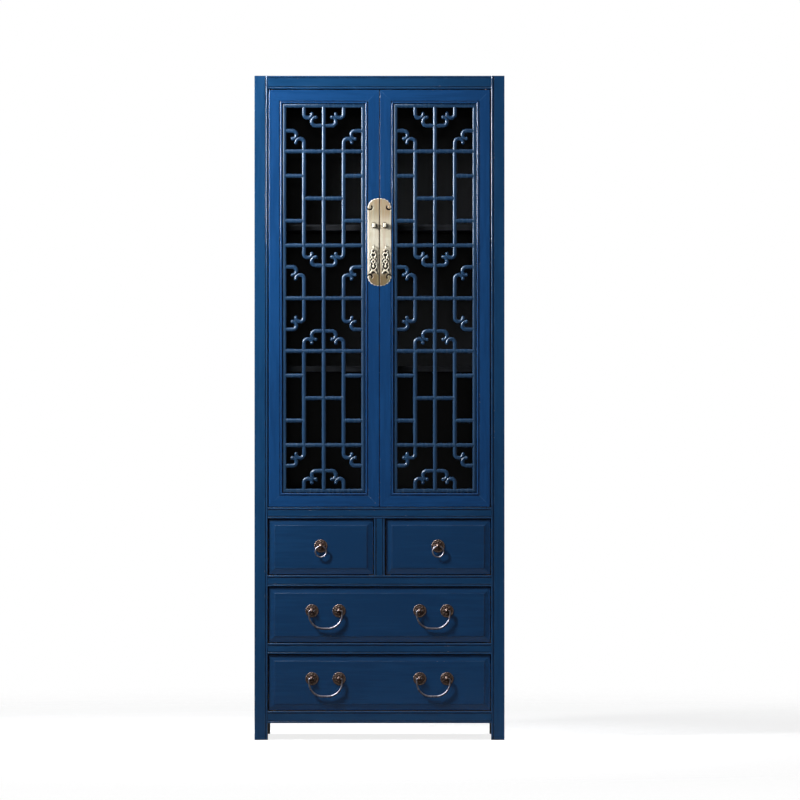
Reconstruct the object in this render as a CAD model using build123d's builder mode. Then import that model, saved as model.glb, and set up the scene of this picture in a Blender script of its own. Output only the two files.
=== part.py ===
from build123d import *
import os

# Chinese book cabinet: two latticed doors on pivot pins above three rows of drawers,
# framed in square posts and rails with a sunk bead along every arris of the front.
# Frame: X to the right, Y from the front to the back, Z up. The origin is on the floor,
# under the middle of the whole piece, pulls included. All sizes are in millimetres.

os.makedirs("parts", exist_ok=True)

# ---------------------------------------------------------------- driving sizes
# Case
cabinet_width = 700
cabinet_height = 1860
case_depth = 400

# Posts and rails
post_width = 37
post_depth = 40
foot_height = 47
bottom_rail_height = 34
drawer_rail_height = 31
door_rail_height = 31
top_rail_height = 37
drawer_opening_height = 159
front_rail_depth = 34
side_rail_thickness = 25
rear_rail_thickness = 25
divider_width = 31

# Sunk bead and the quirk beside it
bead_width = 5.4
quirk_width = 2.2
quirk_depth = 2.4

# Mortise and tenon joints
tenon_thickness = 10
tenon_length = 24
side_tenon_length = 13
divider_tenon_length = 9
tenon_shoulder = 7
mortise_end_gap = 1

# Floating panels and housed boards
panel_thickness = 8
panel_setback = 8
tongue_length = 5
tongue_thickness = 6
board_thickness = 14
board_setback = 1
board_fit = 0.5

# Shelves and drawer bearers
shelf_thickness = 18
shelf_front_gap = 45
shelf_side_gap = 1
cleat_height = 20
cleat_ledge = 12
runner_width = 30
runner_height = 16
guide_height = 18

# Doors
door_thickness = 23
door_recess = 1
door_side_gap = 2.5
door_end_gap = 2.5
meeting_gap = 2
stile_width = 38
door_arris_radius = 3
meeting_arris_radius = 0.5
door_tenon_length = 22
door_tenon_thickness = 8
stop_width = 40
stop_height = 12
stop_gap = 0.5

# Pivot pins and their sockets
pivot_inset = 11
pivot_depth = 9
pin_radius = 4
pin_clearance = 0.05
pin_in_stile = 14
pin_in_socket = 8
pin_end_gap = 0.4
socket_wall = 2
socket_floor = 3

# Lattice
bar_width = 12
bar_depth = 12
bar_chamfer = 3.5
lattice_recess = 3
middle_bar_z = 148
outer_bar_inset = 121.9
side_bar_gap = 49.25
side_bar_inset = 68.8
cloud_recess = 1
cloud_depth = 10
cloud_first_run = 28
cloud_second_start = 26.4
cloud_step = 22
cloud_end_rise = 51.4
cloud_middle_rise = 81.4
cloud_second_run = 50
cloud_turn_radius = 10.5
cloud_neck = 0.5
cloud_head_radius = 5.4

# Drawers
drawer_recess = 2
drawer_gap = 2.5
drawer_front_thickness = 20
bevel_width = 17
bevel_drop = 4
field_rise = 1.2
tray_side_gap = 1.5
tray_slide_gap = 0.3
tray_back_gap = 12
tray_height = 130
tray_side_thickness = 12
tray_back_thickness = 10
tray_back_drop = 6
tray_bottom_thickness = 6
tray_bottom_rise = 8
tray_groove_depth = 5
tray_housing_depth = 7

# Rosettes, studs, bails and rings
rosette_radius = 18.5
rosette_edge = 1.2
rosette_rise = 4
stud_length = 15
pull_stand_off = 10
bail_stud_radius = 4.6
bail_wire_radius = 2.4
bail_fit = 0.08
bail_stud_spacing = 76
bail_shoulder = 8.5
bail_drop = 47
bail_corner_radius = 39
bail_bend_clearance = 0.3
bail_pin_overhang = 1
bail_offset_x = 151
bail_pivot_rise = 11
ring_stud_radius = 4.2
ring_wire_radius = 1.9
ring_radius = 15.4
ring_fit = 0.65
ring_pivot_rise = 2.5

# Face plates, padlock lugs, staples and drops on the doors
plate_half_width = 33
plate_body_height = 184
plate_height = 244
plate_thickness = 1.2
plate_z = 1394
plate_end_radius = 34
plate_eye_radius = 3.2
plate_eye_x = 22.5
plate_eye_z = 92
plate_slit = 1.8
lug_x = 15
lug_z = 1441
lug_width = 9
lug_height = 11
lug_length = 11
lug_bore_radius = 2.6
lug_bore_stand_off = 6.5
drop_x = 17
drop_pivot_z = 1378
staple_radius = 6
staple_wire_radius = 1.25
staple_stand_off = 3.4
drop_thickness = 2.4
drop_eye_radius = 4.3
drop_eye_hole = 2.1
# Discs of the pierced drop and holes through it: height below the eye, offset from
# the middle, radius
drop_discs = ((0, 0, drop_eye_radius), (10, 0, 8), (24, 0, 7), (24, 7, 4.6), (40, 0, 10), (59, 6.5, 4))
drop_holes = ((0, 0, drop_eye_hole), (10, 0, 3), (19.5, 0, 1.7), (24, 6.5, 1.8), (38.5, 3, 3.4), (57, 4.2, 1.8))
drop_neck = (7, 12, 31)
drop_foot = (19, 14, 54)

# ---------------------------------------------------------------- derived places
plate_reach = plate_thickness - door_recess
hardware_reach = max(
    stud_length - drawer_recess,
    plate_reach + lug_length,
    plate_reach + staple_stand_off + staple_radius + staple_wire_radius,
)
front_y = -(case_depth - hardware_reach) / 2
rear_y = front_y + case_depth
outer_x = cabinet_width / 2
post_x = outer_x - post_width
side_x = outer_x - side_rail_thickness
rear_rail_y = rear_y - rear_rail_thickness
front_bay_y = front_y + post_depth
rear_bay_y = rear_y - post_depth
bead_radius = bead_width * 0.42

lower_opening_z = foot_height + bottom_rail_height
lower_rail_z = lower_opening_z + drawer_opening_height
middle_opening_z = lower_rail_z + drawer_rail_height
upper_rail_z = middle_opening_z + drawer_opening_height
upper_opening_z = upper_rail_z + drawer_rail_height
door_rail_z = upper_opening_z + drawer_opening_height
door_opening_z = door_rail_z + door_rail_height
top_rail_z = cabinet_height - top_rail_height

front_levels = {
    "bottom_rail": (foot_height, bottom_rail_height),
    "lower_drawer_rail": (lower_rail_z, drawer_rail_height),
    "upper_drawer_rail": (upper_rail_z, drawer_rail_height),
    "door_rail": (door_rail_z, door_rail_height),
    "top_rail": (top_rail_z, top_rail_height),
}
side_levels = [front_levels[name] for name in ("bottom_rail", "door_rail", "top_rail")]
rear_levels = [
    front_levels[name] for name in ("bottom_rail", "upper_drawer_rail", "door_rail", "top_rail")
]
board_tops = {"compartment_floor": door_opening_z, "top_panel": cabinet_height - board_setback}

door_front_y = front_y + door_recess
door_rear_y = door_front_y + door_thickness
door_outer_x = post_x - door_side_gap
door_inner_x = meeting_gap / 2
door_low_z = door_opening_z + door_end_gap
door_high_z = top_rail_z - door_end_gap
door_width = door_outer_x - door_inner_x
door_height = door_high_z - door_low_z
pivot_x = door_outer_x - pivot_inset
pivot_y = door_front_y + pivot_depth
lattice_front_y = door_front_y + lattice_recess
lattice_x = (door_outer_x + door_inner_x) / 2
lattice_z = (door_low_z + door_high_z) / 2
slip_half_width = door_width / 2 - stile_width
slip_half_height = door_height / 2 - stile_width
lattice_half_width = slip_half_width - bar_width
lattice_half_height = slip_half_height - bar_width
outer_bar_z = lattice_half_height - outer_bar_inset
side_bar_x = lattice_half_width - side_bar_gap
plate_front_y = door_front_y - plate_thickness
drawer_front_y = front_y + drawer_recess

# ---------------------------------------------------------------- helpers


def block(corner, opposite, mode=Mode.ADD):
    """Box between two opposite corners, given in any order."""
    middle = [(a + b) / 2 for a, b in zip(corner, opposite)]
    size = [abs(b - a) for a, b in zip(corner, opposite)]
    with Locations(tuple(middle)):
        Box(*size, mode=mode)


def finish(piece, name):
    """Label a finished piece and write it under its own name."""
    piece.part.label = name
    export_step(piece.part, f"parts/{name}.step")


def finish_pair(piece, name):
    """Write a piece of the right-hand side and its mirror image on the left."""
    finish(piece, f"right_{name}")
    with BuildPart() as mirrored:
        mirror(piece.part, about=Plane.YZ)
    finish(mirrored, f"left_{name}")


def finish_group(pieces, name):
    """Write pieces that touch one another as separate solids of one node."""
    export_step(Compound(label=name, children=pieces), f"parts/{name}.step")


def finish_group_pair(pieces, name):
    """Write a group of the right-hand side and its mirror image on the left."""
    finish_group([Part(piece.wrapped) for piece in pieces], f"right_{name}")
    finish_group([piece.mirror(Plane.YZ) for piece in pieces], f"left_{name}")


def upright_plane(x, y, z):
    """Section plane of a member that rises from this point."""
    return Plane(origin=(x, y, z), x_dir=(1, 0, 0), z_dir=(0, 0, 1))


def level_plane(x, y, z):
    """Section plane of a member that runs to the right from this point."""
    return Plane(origin=(x, y, z), x_dir=(0, 0, -1), z_dir=(1, 0, 0))


def face_plane(x, y, z):
    """Plane of a front face: its X is to the right, its Y up and its normal outward."""
    return Plane(origin=(x, y, z), x_dir=(1, 0, 0), z_dir=(0, -1, 0))


def beaded_section(plane, width, depth, beads=(-1, 1), arris_radius=0):
    """Member section with its front face on local Y = 0 and a sunk bead at each listed side."""
    with BuildSketch(plane) as section:
        with Locations((0, depth / 2)):
            Rectangle(width, depth)
        for side in beads:
            quirk_x = side * (width / 2 - bead_width - quirk_width / 2)
            with Locations((quirk_x, quirk_depth / 2)):
                Rectangle(quirk_width, quirk_depth, mode=Mode.SUBTRACT)
            bead_start = width / 2 - bead_width - quirk_width / 2
            corners = [v for v in section.vertices() if v.Y == 0 and side * v.X > bead_start]
            fillet(corners, bead_radius)
        if arris_radius:
            far_side = -beads[0] * width / 2
            corners = [v for v in section.vertices() if v.Y == 0 and v.X == far_side]
            fillet(corners, arris_radius)
    return section.sketch


def bar_section(plane):
    """Lattice bar: square back and both front arrises taken off."""
    half = bar_width / 2
    with BuildSketch(plane) as section:
        with BuildLine():
            Polyline(
                (-half, bar_depth),
                (-half, bar_chamfer),
                (-half + bar_chamfer, 0),
                (half - bar_chamfer, 0),
                (half, bar_chamfer),
                (half, bar_depth),
                close=True,
            )
        make_face()
    return section.sketch


# ---------------------------------------------------------------- case frame
front_tenon_y = front_y + (front_rail_depth - tenon_thickness) / 2
rear_tenon_y = rear_y - (rear_rail_thickness + tenon_thickness) / 2
side_tenon_x = outer_x - (side_rail_thickness + tenon_thickness) / 2


def cross_tenon(side, tenon_y, level, length):
    """Corners of a front or rear rail's tenon in the post of this side."""
    z, height = level
    corner = (side * post_x, tenon_y, z + tenon_shoulder)
    opposite = (side * (post_x + length), tenon_y + tenon_thickness, z + height - tenon_shoulder)
    return corner, opposite


def side_tenon(bay_y, direction, level, length):
    """Corners of a side rail's tenon in the post that ends the bay at bay_y."""
    z, height = level
    corner = (side_tenon_x, bay_y, z + tenon_shoulder)
    reach_y = bay_y + direction * length
    opposite = (side_tenon_x + tenon_thickness, reach_y, z + height - tenon_shoulder)
    return corner, opposite


def panel_bays(levels):
    """Heights between each rail and the next, where a panel floats."""
    return [(low[0] + low[1], high[0]) for low, high in zip(levels, levels[1:])]


side_panel_x = outer_x - panel_setback - panel_thickness
back_panel_y = rear_y - panel_setback - panel_thickness
groove_depth = tongue_length + mortise_end_gap

with BuildPart() as front_post:
    post_section = beaded_section(
        upright_plane(outer_x - post_width / 2, front_y, 0), post_width, post_depth, beads=(-1,)
    )
    extrude(post_section, amount=cabinet_height)
    for level in front_levels.values():
        corners = cross_tenon(1, front_tenon_y, level, tenon_length + mortise_end_gap)
        block(*corners, mode=Mode.SUBTRACT)
    for level in side_levels:
        corners = side_tenon(front_bay_y, -1, level, side_tenon_length + mortise_end_gap)
        block(*corners, mode=Mode.SUBTRACT)
    for low_z, high_z in panel_bays(side_levels):
        block(
            (side_panel_x, front_bay_y, low_z - groove_depth),
            (side_panel_x + panel_thickness, front_bay_y - groove_depth, high_z + groove_depth),
            mode=Mode.SUBTRACT,
        )
finish_pair(front_post, "front_post")

rear_posts = []
with BuildPart() as rear_post:
    block((post_x, rear_bay_y, 0), (outer_x, rear_y, cabinet_height))
    for level in rear_levels:
        corners = cross_tenon(1, rear_tenon_y, level, tenon_length + mortise_end_gap)
        block(*corners, mode=Mode.SUBTRACT)
    for level in side_levels:
        corners = side_tenon(rear_bay_y, 1, level, side_tenon_length + mortise_end_gap)
        block(*corners, mode=Mode.SUBTRACT)
    for low_z, high_z in panel_bays(side_levels):
        block(
            (side_panel_x, rear_bay_y, low_z - groove_depth),
            (side_panel_x + panel_thickness, rear_bay_y + groove_depth, high_z + groove_depth),
            mode=Mode.SUBTRACT,
        )
    for low_z, high_z in panel_bays(rear_levels):
        block(
            (post_x, back_panel_y, low_z - groove_depth),
            (post_x + groove_depth, back_panel_y + panel_thickness, high_z + groove_depth),
            mode=Mode.SUBTRACT,
        )
with BuildPart() as both_rear_posts:
    add(rear_post.part)
    mirror(rear_post.part, about=Plane.YZ)
finish(both_rear_posts, "rear_posts")


def cut_board_grooves(x_range, y_range, z):
    """Groove for a housed board whose top is at z, cut over this stretch of a rail."""
    groove_top = z - (board_thickness - tongue_thickness) / 2
    block(
        (x_range[0], y_range[0], groove_top - tongue_thickness),
        (x_range[1], y_range[1], groove_top),
        mode=Mode.SUBTRACT,
    )


board_levels = {"door_rail": "compartment_floor", "top_rail": "top_panel"}
socket_radius = pin_radius + socket_wall
socket_depth = pin_in_socket + pin_end_gap + socket_floor - door_end_gap

for name, (z, height) in front_levels.items():
    with BuildPart() as rail:
        start = level_plane(-post_x, front_y, z + height / 2)
        extrude(beaded_section(start, height, front_rail_depth), amount=2 * post_x)
        for side in (-1, 1):
            block(*cross_tenon(side, front_tenon_y, (z, height), tenon_length))
        if name in board_levels:
            front_rail_rear_y = front_y + front_rail_depth
            cut_board_grooves(
                (-post_x, post_x),
                (front_rail_rear_y - groove_depth, front_rail_rear_y),
                board_tops[board_levels[name]],
            )
            socket_mouth_z = z + height if name == "door_rail" else z
            socket_sign = -1 if name == "door_rail" else 1
            for side in (-1, 1):
                with Locations((side * pivot_x, pivot_y, socket_mouth_z + socket_sign * socket_depth / 2)):
                    Cylinder(socket_radius, socket_depth, mode=Mode.SUBTRACT)
        if name in ("door_rail", "upper_drawer_rail"):
            mortise_z = z if name == "door_rail" else z + height
            mortise_sign = 1 if name == "door_rail" else -1
            mortise_depth = divider_tenon_length + mortise_end_gap
            block(
                (-tenon_thickness / 2, front_tenon_y, mortise_z),
                (
                    tenon_thickness / 2,
                    front_tenon_y + tenon_thickness,
                    mortise_z + mortise_sign * mortise_depth,
                ),
                mode=Mode.SUBTRACT,
            )
    finish(rail, name)

with BuildPart() as drawer_divider:
    divider_plane = upright_plane(0, front_y, upper_opening_z)
    divider_section = beaded_section(divider_plane, divider_width, front_rail_depth)
    extrude(divider_section, amount=drawer_opening_height)
    block(
        (-tenon_thickness / 2, front_tenon_y, upper_opening_z - divider_tenon_length),
        (tenon_thickness / 2, front_tenon_y + tenon_thickness, door_rail_z + divider_tenon_length),
    )
finish(drawer_divider, "drawer_divider")


def cut_panel_grooves(x_range, y_range, level, levels):
    """Grooves in a rail's top and bottom edges where a panel stands or hangs in it."""
    z, height = level
    if level != levels[0]:
        block((x_range[0], y_range[0], z), (x_range[1], y_range[1], z + groove_depth), Mode.SUBTRACT)
    if level != levels[-1]:
        top_z = z + height
        block(
            (x_range[0], y_range[0], top_z),
            (x_range[1], y_range[1], top_z - groove_depth),
            Mode.SUBTRACT,
        )


board_top_at = {front_levels[rail]: board_tops[board] for rail, board in board_levels.items()}

with BuildPart() as side_rails:
    for level in side_levels:
        z, height = level
        with BuildPart(mode=Mode.PRIVATE) as side_rail:
            block((side_x, front_bay_y, z), (outer_x, rear_bay_y, z + height))
            block(*side_tenon(front_bay_y, -1, level, side_tenon_length))
            block(*side_tenon(rear_bay_y, 1, level, side_tenon_length))
            bay = (front_bay_y, rear_bay_y)
            panel_x_range = (side_panel_x, side_panel_x + panel_thickness)
            cut_panel_grooves(panel_x_range, bay, level, side_levels)
            if level in board_top_at:
                cut_board_grooves((side_x, side_x + groove_depth), bay, board_top_at[level])
        add(side_rail.part)
        mirror(side_rail.part, about=Plane.YZ)
finish(side_rails, "side_rails")

with BuildPart() as rear_rails:
    for level in rear_levels:
        z, height = level
        with BuildPart(mode=Mode.PRIVATE) as rear_rail:
            block((-post_x, rear_rail_y, z), (post_x, rear_y, z + height))
            for side in (-1, 1):
                block(*cross_tenon(side, rear_tenon_y, level, tenon_length))
            bay = (-post_x, post_x)
            panel_y_range = (back_panel_y, back_panel_y + panel_thickness)
            cut_panel_grooves(bay, panel_y_range, level, rear_levels)
            if level in board_top_at:
                cut_board_grooves(bay, (rear_rail_y, rear_rail_y + groove_depth), board_top_at[level])
        add(rear_rail.part)
finish(rear_rails, "rear_rails")

with BuildPart() as side_panels:
    for side in (-1, 1):
        for low_z, high_z in panel_bays(side_levels):
            block(
                (side * side_panel_x, front_bay_y - tongue_length, low_z - tongue_length),
                (
                    side * (side_panel_x + panel_thickness),
                    rear_bay_y + tongue_length,
                    high_z + tongue_length,
                ),
            )
finish(side_panels, "side_panels")

with BuildPart() as back_panels:
    for low_z, high_z in panel_bays(rear_levels):
        block(
            (-post_x - tongue_length, back_panel_y, low_z - tongue_length),
            (post_x + tongue_length, back_panel_y + panel_thickness, high_z + tongue_length),
        )
finish(back_panels, "back_panels")

# ---------------------------------------------------------------- housed boards
for name, top_z in board_tops.items():
    front_rail_rear_y = front_y + front_rail_depth
    tongue_top_z = top_z - (board_thickness - tongue_thickness) / 2
    with BuildPart() as board:
        block(
            (-side_x + board_fit, front_rail_rear_y + board_fit, top_z - board_thickness),
            (side_x - board_fit, rear_rail_y - board_fit, top_z),
        )
        block(
            (-side_x - tongue_length, front_rail_rear_y - tongue_length, tongue_top_z),
            (side_x + tongue_length, rear_rail_y + tongue_length, tongue_top_z - tongue_thickness),
        )
        for side in (-1, 1):
            for post_end_y, bay_y in ((front_y, front_bay_y + board_fit), (rear_y, rear_bay_y - board_fit)):
                block(
                    (side * (post_x - board_fit), post_end_y, top_z),
                    (side * outer_x, bay_y, top_z - board_thickness),
                    mode=Mode.SUBTRACT,
                )
    finish(board, name)

# ---------------------------------------------------------------- shelves, bearers and stops
shelf_bay = (top_rail_z - door_opening_z - 2 * shelf_thickness) / 3
shelf_levels = {
    "lower_shelf": door_opening_z + shelf_bay,
    "upper_shelf": door_opening_z + 2 * shelf_bay + shelf_thickness,
}

for name, z in shelf_levels.items():
    with BuildPart() as shelf:
        block(
            (-post_x + shelf_side_gap, front_y + shelf_front_gap, z),
            (post_x - shelf_side_gap, back_panel_y - shelf_side_gap, z + shelf_thickness),
        )
        front_arrises = shelf.edges().filter_by(Axis.X).group_by(Axis.Y)[0]
        chamfer(front_arrises, shelf_thickness / 9)
    finish(shelf, name)

with BuildPart() as shelf_cleats:
    for side in (-1, 1):
        for z in shelf_levels.values():
            block(
                (side * (post_x - cleat_ledge), front_bay_y, z - cleat_height),
                (side * side_panel_x, rear_bay_y, z),
            )
finish(shelf_cleats, "shelf_cleats")

opening_levels = (lower_opening_z, middle_opening_z, upper_opening_z)
divider_half = divider_width / 2
centre_bay = (front_y + front_rail_depth, rear_rail_y)

with BuildPart() as drawer_runners:
    for side in (-1, 1):
        for z in opening_levels:
            block(
                (side * (side_x - runner_width), front_bay_y, z - runner_height),
                (side * side_x, rear_bay_y, z),
            )
    centre_runner_x = divider_half + runner_width / 2
    block(
        (-centre_runner_x, centre_bay[0], upper_opening_z - runner_height),
        (centre_runner_x, centre_bay[1], upper_opening_z),
    )
finish(drawer_runners, "drawer_runners")

with BuildPart() as drawer_guides:
    for side in (-1, 1):
        for z in opening_levels:
            block((side * post_x, front_bay_y, z), (side * side_x, rear_bay_y, z + guide_height))
    block(
        (-divider_half, centre_bay[0], upper_opening_z),
        (divider_half, centre_bay[1], upper_opening_z + guide_height),
    )
finish(drawer_guides, "drawer_guides")

with BuildPart() as door_stops:
    stop_y_range = (door_rear_y + stop_gap, front_y + front_rail_depth)
    for wall_z, inward in ((door_opening_z, 1), (top_rail_z, -1)):
        block(
            (-stop_width / 2, stop_y_range[0], wall_z),
            (stop_width / 2, stop_y_range[1], wall_z + inward * stop_height),
        )
finish(door_stops, "door_stops")

with BuildPart() as pivot_sockets:
    for side in (-1, 1):
        for wall_z, into_rail in ((door_opening_z, -1), (top_rail_z, 1)):
            with Locations((side * pivot_x, pivot_y, wall_z + into_rail * socket_depth / 2)):
                Cylinder(socket_radius, socket_depth)
            bore_depth = socket_depth - socket_floor
            with Locations((side * pivot_x, pivot_y, wall_z + into_rail * bore_depth / 2)):
                Cylinder(pin_radius + pin_clearance, bore_depth, mode=Mode.SUBTRACT)
finish(pivot_sockets, "pivot_sockets")

# ---------------------------------------------------------------- door frames


# The right-hand door's outer edge is 1 and its meeting edge -1, its top 1 and its bottom -1
door_edges_x = {1: door_outer_x, -1: door_inner_x}
door_ends_z = {1: door_high_z, -1: door_low_z}
arris_radii = {1: door_arris_radius, -1: meeting_arris_radius}
door_tenon_y = door_front_y + (door_thickness - door_tenon_thickness) / 2


def mitre(edge_sign, end_sign):
    """Mitre at one corner of the right-hand door, its normal on the stile's side."""
    corner = (door_edges_x[edge_sign], door_front_y, door_ends_z[end_sign])
    return Plane(origin=corner, z_dir=(edge_sign, 0, -end_sign))


def round_mitre_tip(edge_sign):
    """Carry the stile's rounded arris on across the tip of a mitred rail."""
    radius = arris_radii[edge_sign]
    with BuildSketch(upright_plane(door_edges_x[edge_sign], door_front_y, door_low_z)) as waste:
        with Locations((-edge_sign * radius / 2, radius / 2)):
            Rectangle(radius, radius)
        with Locations((-edge_sign * radius, radius)):
            Circle(radius, mode=Mode.SUBTRACT)
    extrude(waste.sketch, amount=door_height, mode=Mode.SUBTRACT)


def door_tenon(edge_sign, end_sign, length):
    """Corners of a door rail's tenon in the stile at one corner of the door."""
    inner_x = door_edges_x[edge_sign] - edge_sign * stile_width
    outer_z = door_ends_z[end_sign]
    corner = (inner_x, door_tenon_y, outer_z - end_sign * tenon_shoulder)
    opposite = (
        inner_x + edge_sign * length,
        door_tenon_y + door_tenon_thickness,
        outer_z - end_sign * (stile_width - tenon_shoulder),
    )
    return corner, opposite


for edge_sign, name in ((1, "door_outer_stile"), (-1, "door_inner_stile")):
    stile_x = door_edges_x[edge_sign] - edge_sign * stile_width / 2
    start = upright_plane(stile_x, door_front_y, door_low_z)
    arris_radius = arris_radii[edge_sign]
    with BuildPart() as stile:
        stile_section = beaded_section(
            start, stile_width, door_thickness, beads=(-edge_sign,), arris_radius=arris_radius
        )
        extrude(stile_section, amount=door_height)
        for end_sign in (-1, 1):
            split(bisect_by=mitre(edge_sign, end_sign), keep=Keep.TOP)
            corners = door_tenon(edge_sign, end_sign, door_tenon_length + mortise_end_gap)
            block(*corners, mode=Mode.SUBTRACT)
            if edge_sign > 0:
                hole_depth = pin_in_stile + pin_end_gap
                hole_z = door_ends_z[end_sign] - end_sign * hole_depth / 2
                with Locations((pivot_x, pivot_y, hole_z)):
                    Cylinder(pin_radius + pin_clearance, hole_depth, mode=Mode.SUBTRACT)
    finish_pair(stile, name)

door_rails = []
for end_sign, end_z in door_ends_z.items():
    start = level_plane(door_inner_x, door_front_y, end_z - end_sign * stile_width / 2)
    with BuildPart() as door_rail:
        door_rail_section = beaded_section(start, stile_width, door_thickness, beads=(end_sign,))
        extrude(door_rail_section, amount=door_width)
        for edge_sign in (-1, 1):
            split(bisect_by=mitre(edge_sign, end_sign), keep=Keep.BOTTOM)
            round_mitre_tip(edge_sign)
        for edge_sign in (-1, 1):
            block(*door_tenon(edge_sign, end_sign, door_tenon_length))
        hole_depth = pin_in_stile + pin_end_gap
        with Locations((pivot_x, pivot_y, end_z - end_sign * hole_depth / 2)):
            Cylinder(pin_radius + pin_clearance, hole_depth, mode=Mode.SUBTRACT)
    door_rails.append(door_rail.part)
with BuildPart() as both_door_rails:
    add(door_rails)
finish_pair(both_door_rails, "door_rails")

with BuildPart() as pivot_pins:
    for end_sign, end_z in door_ends_z.items():
        pin_length = pin_in_stile + pin_in_socket
        middle_z = end_z + end_sign * (pin_in_socket - pin_in_stile) / 2
        with Locations((pivot_x, pivot_y, middle_z)):
            Cylinder(pin_radius, pin_length)
finish_pair(pivot_pins, "pivot_pins")

# ---------------------------------------------------------------- door lattice


def level_bar(x_low, x_high, z, coped_to=(), lap=False):
    """Lattice bar that runs across at height z from the lattice's middle."""
    with BuildPart() as bar:
        start = level_plane(lattice_x + x_low, lattice_front_y, lattice_z + z)
        extrude(bar_section(start), amount=x_high - x_low)
        for other in coped_to:
            add(other, mode=Mode.SUBTRACT)
        if lap:
            block(
                (lattice_x - bar_width / 2, lattice_front_y + bar_depth / 2, lattice_z + z - bar_width),
                (lattice_x + bar_width / 2, lattice_front_y + bar_depth, lattice_z + z + bar_width),
                mode=Mode.SUBTRACT,
            )
    return bar.part


def upright_bar(x, z_low, z_high, coped_to=()):
    """Lattice bar that stands at x from the lattice's middle."""
    with BuildPart() as bar:
        start = upright_plane(lattice_x + x, lattice_front_y, lattice_z + z_low)
        extrude(bar_section(start), amount=z_high - z_low)
        for other in coped_to:
            add(other, mode=Mode.SUBTRACT)
    return bar.part


def slip_bar(edge_sign, end_sign):
    """Mitred bar of the slip frame round the lattice."""
    half_bar = bar_width / 2
    if edge_sign:
        bar = upright_bar(edge_sign * (slip_half_width - half_bar), -slip_half_height, slip_half_height)
        corners = [(edge_sign, sign) for sign in (-1, 1)]
        keep = Keep.TOP
    else:
        bar = level_bar(-slip_half_width, slip_half_width, end_sign * (slip_half_height - half_bar))
        corners = [(sign, end_sign) for sign in (-1, 1)]
        keep = Keep.BOTTOM
    with BuildPart() as mitred:
        add(bar)
        for x_sign, z_sign in corners:
            corner = (
                lattice_x + x_sign * slip_half_width,
                lattice_front_y,
                lattice_z + z_sign * slip_half_height,
            )
            split(bisect_by=Plane(origin=corner, z_dir=(x_sign, 0, -z_sign)), keep=keep)
    return mitred.part


slip_frame = [slip_bar(1, 0), slip_bar(-1, 0), slip_bar(0, 1), slip_bar(0, -1)]
finish_group_pair(slip_frame, "lattice_frame")

half_bar = bar_width / 2
coped_half_width = lattice_half_width + bar_chamfer
coped_half_height = lattice_half_height + bar_chamfer
full_bars = [
    level_bar(-coped_half_width, coped_half_width, z, coped_to=slip_frame[:2], lap=True)
    for z in (-outer_bar_z, -middle_bar_z, 0, middle_bar_z, outer_bar_z)
]
side_bars = [
    upright_bar(
        x,
        min(z_sign * middle_bar_z, z_sign * outer_bar_z) + half_bar - bar_chamfer,
        max(z_sign * middle_bar_z, z_sign * outer_bar_z) - half_bar + bar_chamfer,
        coped_to=full_bars,
    )
    for x in (-side_bar_x, side_bar_x)
    for z_sign in (-1, 1)
]
module_middle_z = (middle_bar_z + outer_bar_z) / 2
coped_side_x = side_bar_x - half_bar + bar_chamfer
middle_bars = [
    level_bar(-coped_side_x, coped_side_x, z, coped_to=side_bars, lap=True)
    for z in (-module_middle_z, module_middle_z)
]
short_bars = []
for z in (middle_bar_z + side_bar_inset, outer_bar_z - side_bar_inset):
    for z_sign in (-1, 1):
        for x_sign in (-1, 1):
            ends = (x_sign * (side_bar_x + half_bar - bar_chamfer), x_sign * coped_half_width)
            coped_to = side_bars + slip_frame[:2]
            short_bars.append(level_bar(min(ends), max(ends), z_sign * z, coped_to=coped_to))
centre_bar = upright_bar(
    0, -coped_half_height, coped_half_height, coped_to=full_bars + middle_bars + slip_frame[2:]
)
finish_group_pair([centre_bar] + full_bars + side_bars + middle_bars + short_bars, "lattice_bars")


def cloud_arm(start_x, start_z, along, across, run, reach):
    """Stepped scroll: two hooked strokes that turn their round heads away from each other.

    It leaves its start in direction along, and ends in direction across, run further
    along and reach further across.
    """
    normal = Vector(*along).cross(Vector(*across))
    origin = (lattice_x + start_x, lattice_front_y + cloud_recess, lattice_z + start_z)
    neck = cloud_turn_radius + cloud_neck
    heads = (
        (cloud_first_run - neck, cloud_step),
        (cloud_second_start, cloud_step + neck),
    )
    last_turn = min(cloud_turn_radius, reach - cloud_step)
    with BuildPart() as arm:
        with BuildSketch(Plane(origin=origin, x_dir=along, z_dir=normal)):
            with BuildLine():
                FilletPolyline(
                    (0, 0),
                    (cloud_first_run, 0),
                    (cloud_first_run, cloud_step),
                    heads[0],
                    radius=cloud_turn_radius,
                )
            trace(line_width=bar_width)
            with BuildLine():
                FilletPolyline(
                    heads[1],
                    (cloud_second_start, cloud_step),
                    (run, cloud_step),
                    (run, reach),
                    radius=(cloud_turn_radius, last_turn),
                )
            trace(line_width=bar_width)
            with Locations(*heads):
                Circle(cloud_head_radius)
        extrude(amount=cloud_depth, dir=(0, 1, 0))
    return arm.part


down = (0, 0, -1)
inward = (-1, 0, 0)
centre_reach = side_bar_x - half_bar
quarter_arms = [
    cloud_arm(side_bar_x, lattice_half_height, down, inward, cloud_second_run, centre_reach),
    cloud_arm(side_bar_x, middle_bar_z - half_bar, down, inward, cloud_second_run, centre_reach),
    cloud_arm(
        lattice_half_width,
        outer_bar_z + half_bar + cloud_end_rise,
        inward,
        down,
        side_bar_gap,
        cloud_end_rise,
    ),
    cloud_arm(
        lattice_half_width, half_bar + cloud_middle_rise, inward, down, side_bar_gap, cloud_middle_rise
    ),
]
upper_arms = quarter_arms + [
    arm.mirror(Plane.YZ.offset(lattice_x)) for arm in quarter_arms
]
cloud_arms = upper_arms + [arm.mirror(Plane.XY.offset(lattice_z)) for arm in upper_arms]
finish_group_pair(cloud_arms, "lattice_clouds")

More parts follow.
